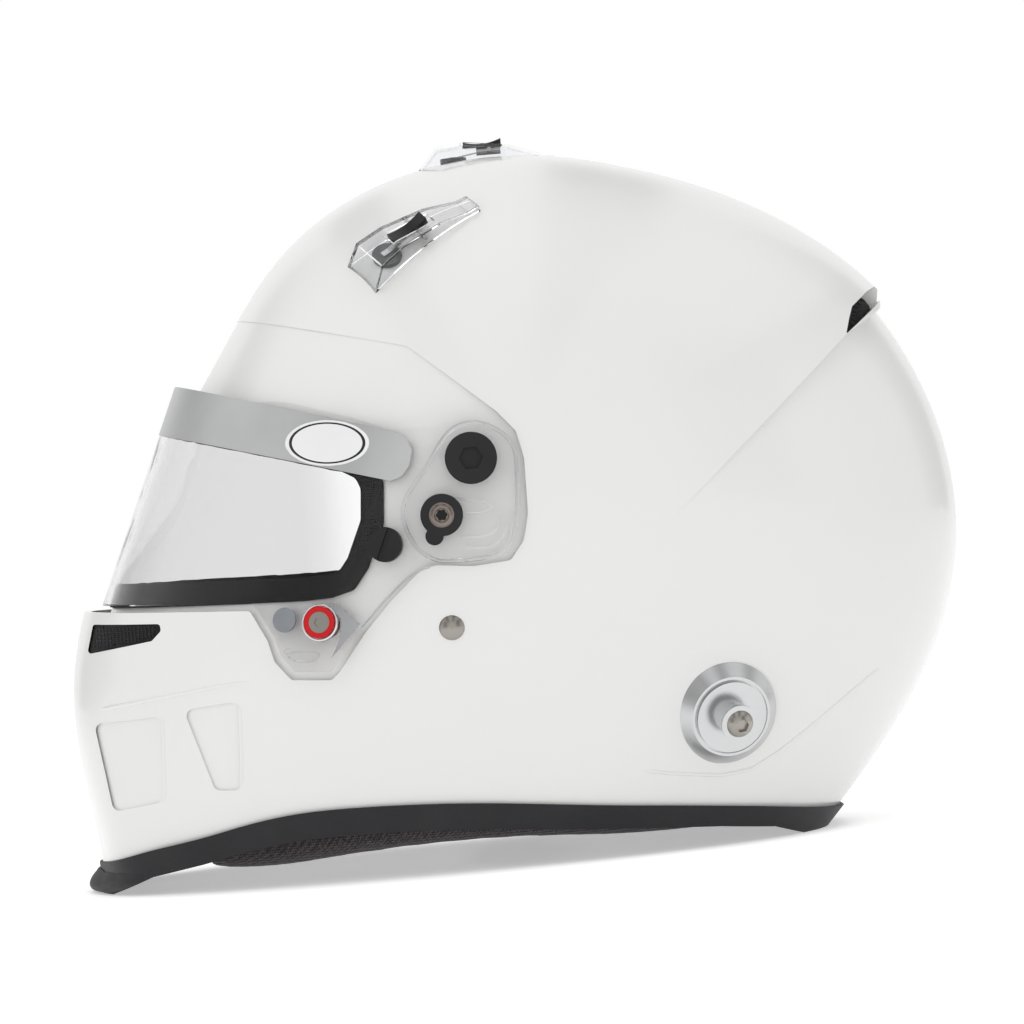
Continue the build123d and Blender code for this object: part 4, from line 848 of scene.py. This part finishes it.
# Low creases moulded in the shell on both sides: the chin's ridge, its panels' edges, the rear tuck
CREASE_SINK, CREASE_END_SINK, CREASE_RADIUS, CREASE_STEPS = 0.55, 1.1, 0.9, 4
CREASE_PX = (
    ((104, 709), (130, 704), (170, 696), (210, 688), (255, 681)),
    ((163, 716), (164, 745), (165, 775), (165, 803)), ((240, 701), (241, 730), (242, 760), (242, 788)),
    ((640, 770), (670, 773), (720, 775), (750, 769), (780, 750), (810, 726), (850, 692), (878, 668)),
)
SHELL_GUESS = 100.0
shell_tree = tree_of("shell")


def on_shell(place, sign, sink):
    """The place sunk in the shell's outer face that a pixel of the photograph shows, or its mirror."""
    x = SHELL_GUESS
    for _ in range(PASSES):
        y, z = seen(place, x)
        x = landed(shell_tree, (BESIDE, y, z), (-1, 0, 0))[0]
    return sign * (x - sink), y, z


def finer(run):
    """A run of pixels with evenly spaced places added between them."""
    places = [run[0]]
    for near, far in zip(run, run[1:]):
        for k in range(1, CREASE_STEPS + 1):
            share = k / CREASE_STEPS
            places.append(tuple(a + (b - a) * share for a, b in zip(near, far)))
    return places


for side, sign in SIDES:
    runs = []
    for run in map(finer, CREASE_PX):
        ends = (run[0], run[-1])
        runs.append([on_shell(p, sign, CREASE_END_SINK if p in ends else CREASE_SINK) for p in run])
    bead("shell_creases_" + side, runs, CREASE_RADIUS, lacquer, "helmet")

# Stitches: two rows along each strap, and one on each pad beside its upright channel
STITCH, STITCH_COUNT, STITCH_SHARE, STITCH_RADIUS = 2.6, 18, 0.62, 0.22
STRAP_Y, STRAP_EDGE, STRAP_X = -23.4, 10.0, 46
PAD_STITCH_Y, PAD_STITCH_Z = -78, 50


def stitched(name, places):
    """A row of stitches: short threads between neighbouring places."""
    runs = []
    for near, far in zip(places, places[1:]):
        start, span = Vector(near), Vector(far) - Vector(near)
        halfway, end = start + span * STITCH_SHARE / 2, start + span * STITCH_SHARE
        runs.append([tuple(start), tuple(halfway), tuple(end)])
    bead(name, runs, STITCH_RADIUS, thread, "helmet")


def row_of(tree, starts, way):
    """The places where parallel rays land, leaving out those that miss."""
    found = [landed(tree, start, way) for start in starts]
    return [place for place in found if place is not None]


for side, sign in SIDES:
    strap_tree = tree_of("strap_" + side)
    for edge, shift in (("front", -STRAP_EDGE), ("back", STRAP_EDGE)):
        starts = [(sign * (STRAP_X + k * STITCH), STRAP_Y + shift, BELOW) for k in range(STITCH_COUNT)]
        row = row_of(strap_tree, starts, (0, 0, 1))
        stitched("strap_stitch_" + edge + "_" + side, row)
    pad_tree = BVHTree.FromObject(bpy.data.objects["pad_" + side], bpy.context.evaluated_depsgraph_get())
    heights = [PAD_STITCH_Z + k * STITCH for k in range(STITCH_COUNT)]
    starts = [(0, PAD_STITCH_Y - PAD_SLANT * (z - PAD_Z), z) for z in heights]
    stitched("pad_stitch_" + side, row_of(pad_tree, starts, (sign, 0, 0)))

# Camera at the photograph's view
SENSOR_WIDE, CAMERA_REACH = 36.0, 20.0
camera_data = bpy.data.cameras.new("camera")
camera_data.sensor_width = SENSOR_WIDE
camera_data.lens = SENSOR_WIDE * VIEW_FAR / VIEW_WIDE
camera_data.clip_end = CAMERA_REACH
camera = bpy.data.objects.new("camera", camera_data)
bpy.context.scene.collection.objects.link(camera)
right, up = Vector((0, TIP_C, -TIP_S)), Vector((0, TIP_S, TIP_C))
camera.matrix_world = Matrix.Translation(
    Vector((VIEW_FAR, VIEW_Y, VIEW_Z)) * MM
) @ Matrix((right, up, Vector((1, 0, 0)))).transposed().to_4x4()
bpy.context.scene.camera = camera

# Studio: a pale floor, and two soft boxes overhead and ahead on the left, which show in no reflection
FLOOR_RINGS, FLOOR_SPOKES, FLOOR_REACH, FLOOR_SPREAD = 16, 96, 6000.0, 1.6
FLOOR_GLOW, FLOOR_SEEN_GLOW = 0.26, 0.16
AIM = (0, 0, 130)


def floor_disc():
    """A flat round floor, its rings closer together near the helmet."""
    verts, faces = [(0, 0, 0)], []
    for i in range(1, FLOOR_RINGS + 1):
        out = FLOOR_REACH * (i / FLOOR_RINGS) ** FLOOR_SPREAD
        for k in range(FLOOR_SPOKES):
            angle = 2 * math.pi * k / FLOOR_SPOKES
            verts.append((out * math.cos(angle), out * math.sin(angle), 0))
    for k in range(FLOOR_SPOKES):
        faces.append((0, 1 + k, 1 + (k + 1) % FLOOR_SPOKES))
    for i in range(FLOOR_RINGS - 1):
        for k in range(FLOOR_SPOKES):
            a, b = 1 + i * FLOOR_SPOKES + k, 1 + i * FLOOR_SPOKES + (k + 1) % FLOOR_SPOKES
            faces.append((a, a + FLOOR_SPOKES, b + FLOOR_SPOKES, b))
    return verts, faces


def seen_white(tree):
    """1 for the rays that show the pale background: the camera's, and those through or off a surface."""
    path = add_node(tree, "ShaderNodeLightPath").outputs
    through = math_node(tree, "MAXIMUM", path["Is Camera Ray"], path["Is Transmission Ray"])
    return math_node(tree, "MAXIMUM", through, path["Is Glossy Ray"])


def soft_box(name, place, wide, power):
    """A large square area light aimed at the helmet."""
    data = bpy.data.lights.new(name, "AREA")
    data.shape = "RECTANGLE"
    data.size = data.size_y = wide * MM
    data.energy = power
    light = bpy.data.objects.new(name, data)
    bpy.context.scene.collection.objects.link(light)
    light.location = Vector(place) * MM
    light.rotation_euler = (Vector(AIM) - Vector(place)).to_track_quat("-Z", "Y").to_euler()
    light.visible_glossy = False


floor_finish = grained(
    "floor_finish", low=(0.86, 0.86, 0.86), high=(0.88, 0.88, 0.88), gloss=(0.8, 0.95),
    depth=0.02, scale=60.0, Emission_Color=(1, 1, 1, 1), Specular_IOR_Level=0.0,
)
floor_tree = floor_finish.node_tree
glow = math_node(floor_tree, "MULTIPLY", seen_white(floor_tree), FLOOR_SEEN_GLOW)
glow = math_node(floor_tree, "ADD", glow, FLOOR_GLOW)
floor_tree.links.new(glow, floor_tree.nodes["Principled BSDF"].inputs["Emission Strength"])
floor = as_object("floor", *floor_disc(), floor_finish)
soft_box("top", (0, 0, 2300), wide=1800, power=10)
soft_box("key", (1700, -1100, 1500), wide=1150, power=3.5)

# Surround: white where it is seen straight or through the visor, a plain level where it lights the
# helmet, and crossed by dark posts and beams, as between soft boxes, where a gloss mirrors it
PLAIN_LEVEL, PLAIN_SIDE_RISE = 0.73, 0.20
GAP_DARK, GAP_CLEAR = -0.9, -0.2
POST_COUNT, POST_LEAD, POST_DARK, POST_TOPS = 4.0, 0.0, 0.55, (0.4, 0.9)
BEAM_COUNT, BEAM_LEAD, BEAM_DARK, BEAM_FEET = 9.0, math.radians(95), 0.8, (0.3, 0.7)
world = bpy.data.worlds.new("surround")
world.use_nodes = True
sky = world.node_tree


def eased(value, start, stop, low, high):
    """A level that passes smoothly from one value to another."""
    return add_node(
        sky, "ShaderNodeMapRange",
        [("Value", value), ("From Min", start), ("From Max", stop), ("To Min", low), ("To Max", high)],
        interpolation_type="SMOOTHSTEP",
    ).outputs[0]


def gaps_about(first, second, count, lead):
    """1 in the gaps between soft boxes and 0 in front of them, round an axis from a leading angle."""
    angle = math_node(sky, "SUBTRACT", math_node(sky, "ARCTAN2", second, first), lead)
    wave = math_node(sky, "COSINE", math_node(sky, "MULTIPLY", angle, count))
    return eased(wave, GAP_DARK, GAP_CLEAR, 1.0, 0.0)


way = add_node(sky, "ShaderNodeTexCoord").outputs["Generated"]
across, ahead, above = add_node(sky, "ShaderNodeSeparateXYZ", [("Vector", way)]).outputs
posts = math_node(sky, "MULTIPLY", gaps_about(across, ahead, POST_COUNT, POST_LEAD), POST_DARK)
posts = math_node(sky, "MULTIPLY", posts, eased(above, *POST_TOPS, 1.0, 0.0))
beams = math_node(sky, "MULTIPLY", gaps_about(ahead, above, BEAM_COUNT, BEAM_LEAD), BEAM_DARK)
beams = math_node(sky, "MULTIPLY", beams, eased(above, *BEAM_FEET, 0.0, 1.0))
mirrored_level = math_node(sky, "SUBTRACT", math_node(sky, "SUBTRACT", 1.0, posts), beams)
plain_level = math_node(sky, "ADD", PLAIN_LEVEL, math_node(sky, "MULTIPLY", across, PLAIN_SIDE_RISE))
path = add_node(sky, "ShaderNodeLightPath").outputs
white = math_node(sky, "MAXIMUM", path["Is Camera Ray"], path["Is Transmission Ray"])
shown_level = add_node(
    sky, "ShaderNodeMix",
    [("Factor", path["Is Glossy Ray"]), ("A", plain_level), ("B", mirrored_level)],
).outputs[0]
level = math_node(sky, "MAXIMUM", shown_level, white)
sky.links.new(level, sky.nodes["Background"].inputs["Strength"])
sky.nodes["Background"].inputs["Color"].default_value = (1.0, 1.0, 1.0, 1)
bpy.context.scene.world = world
bpy.context.scene.view_settings.view_transform = "Standard"
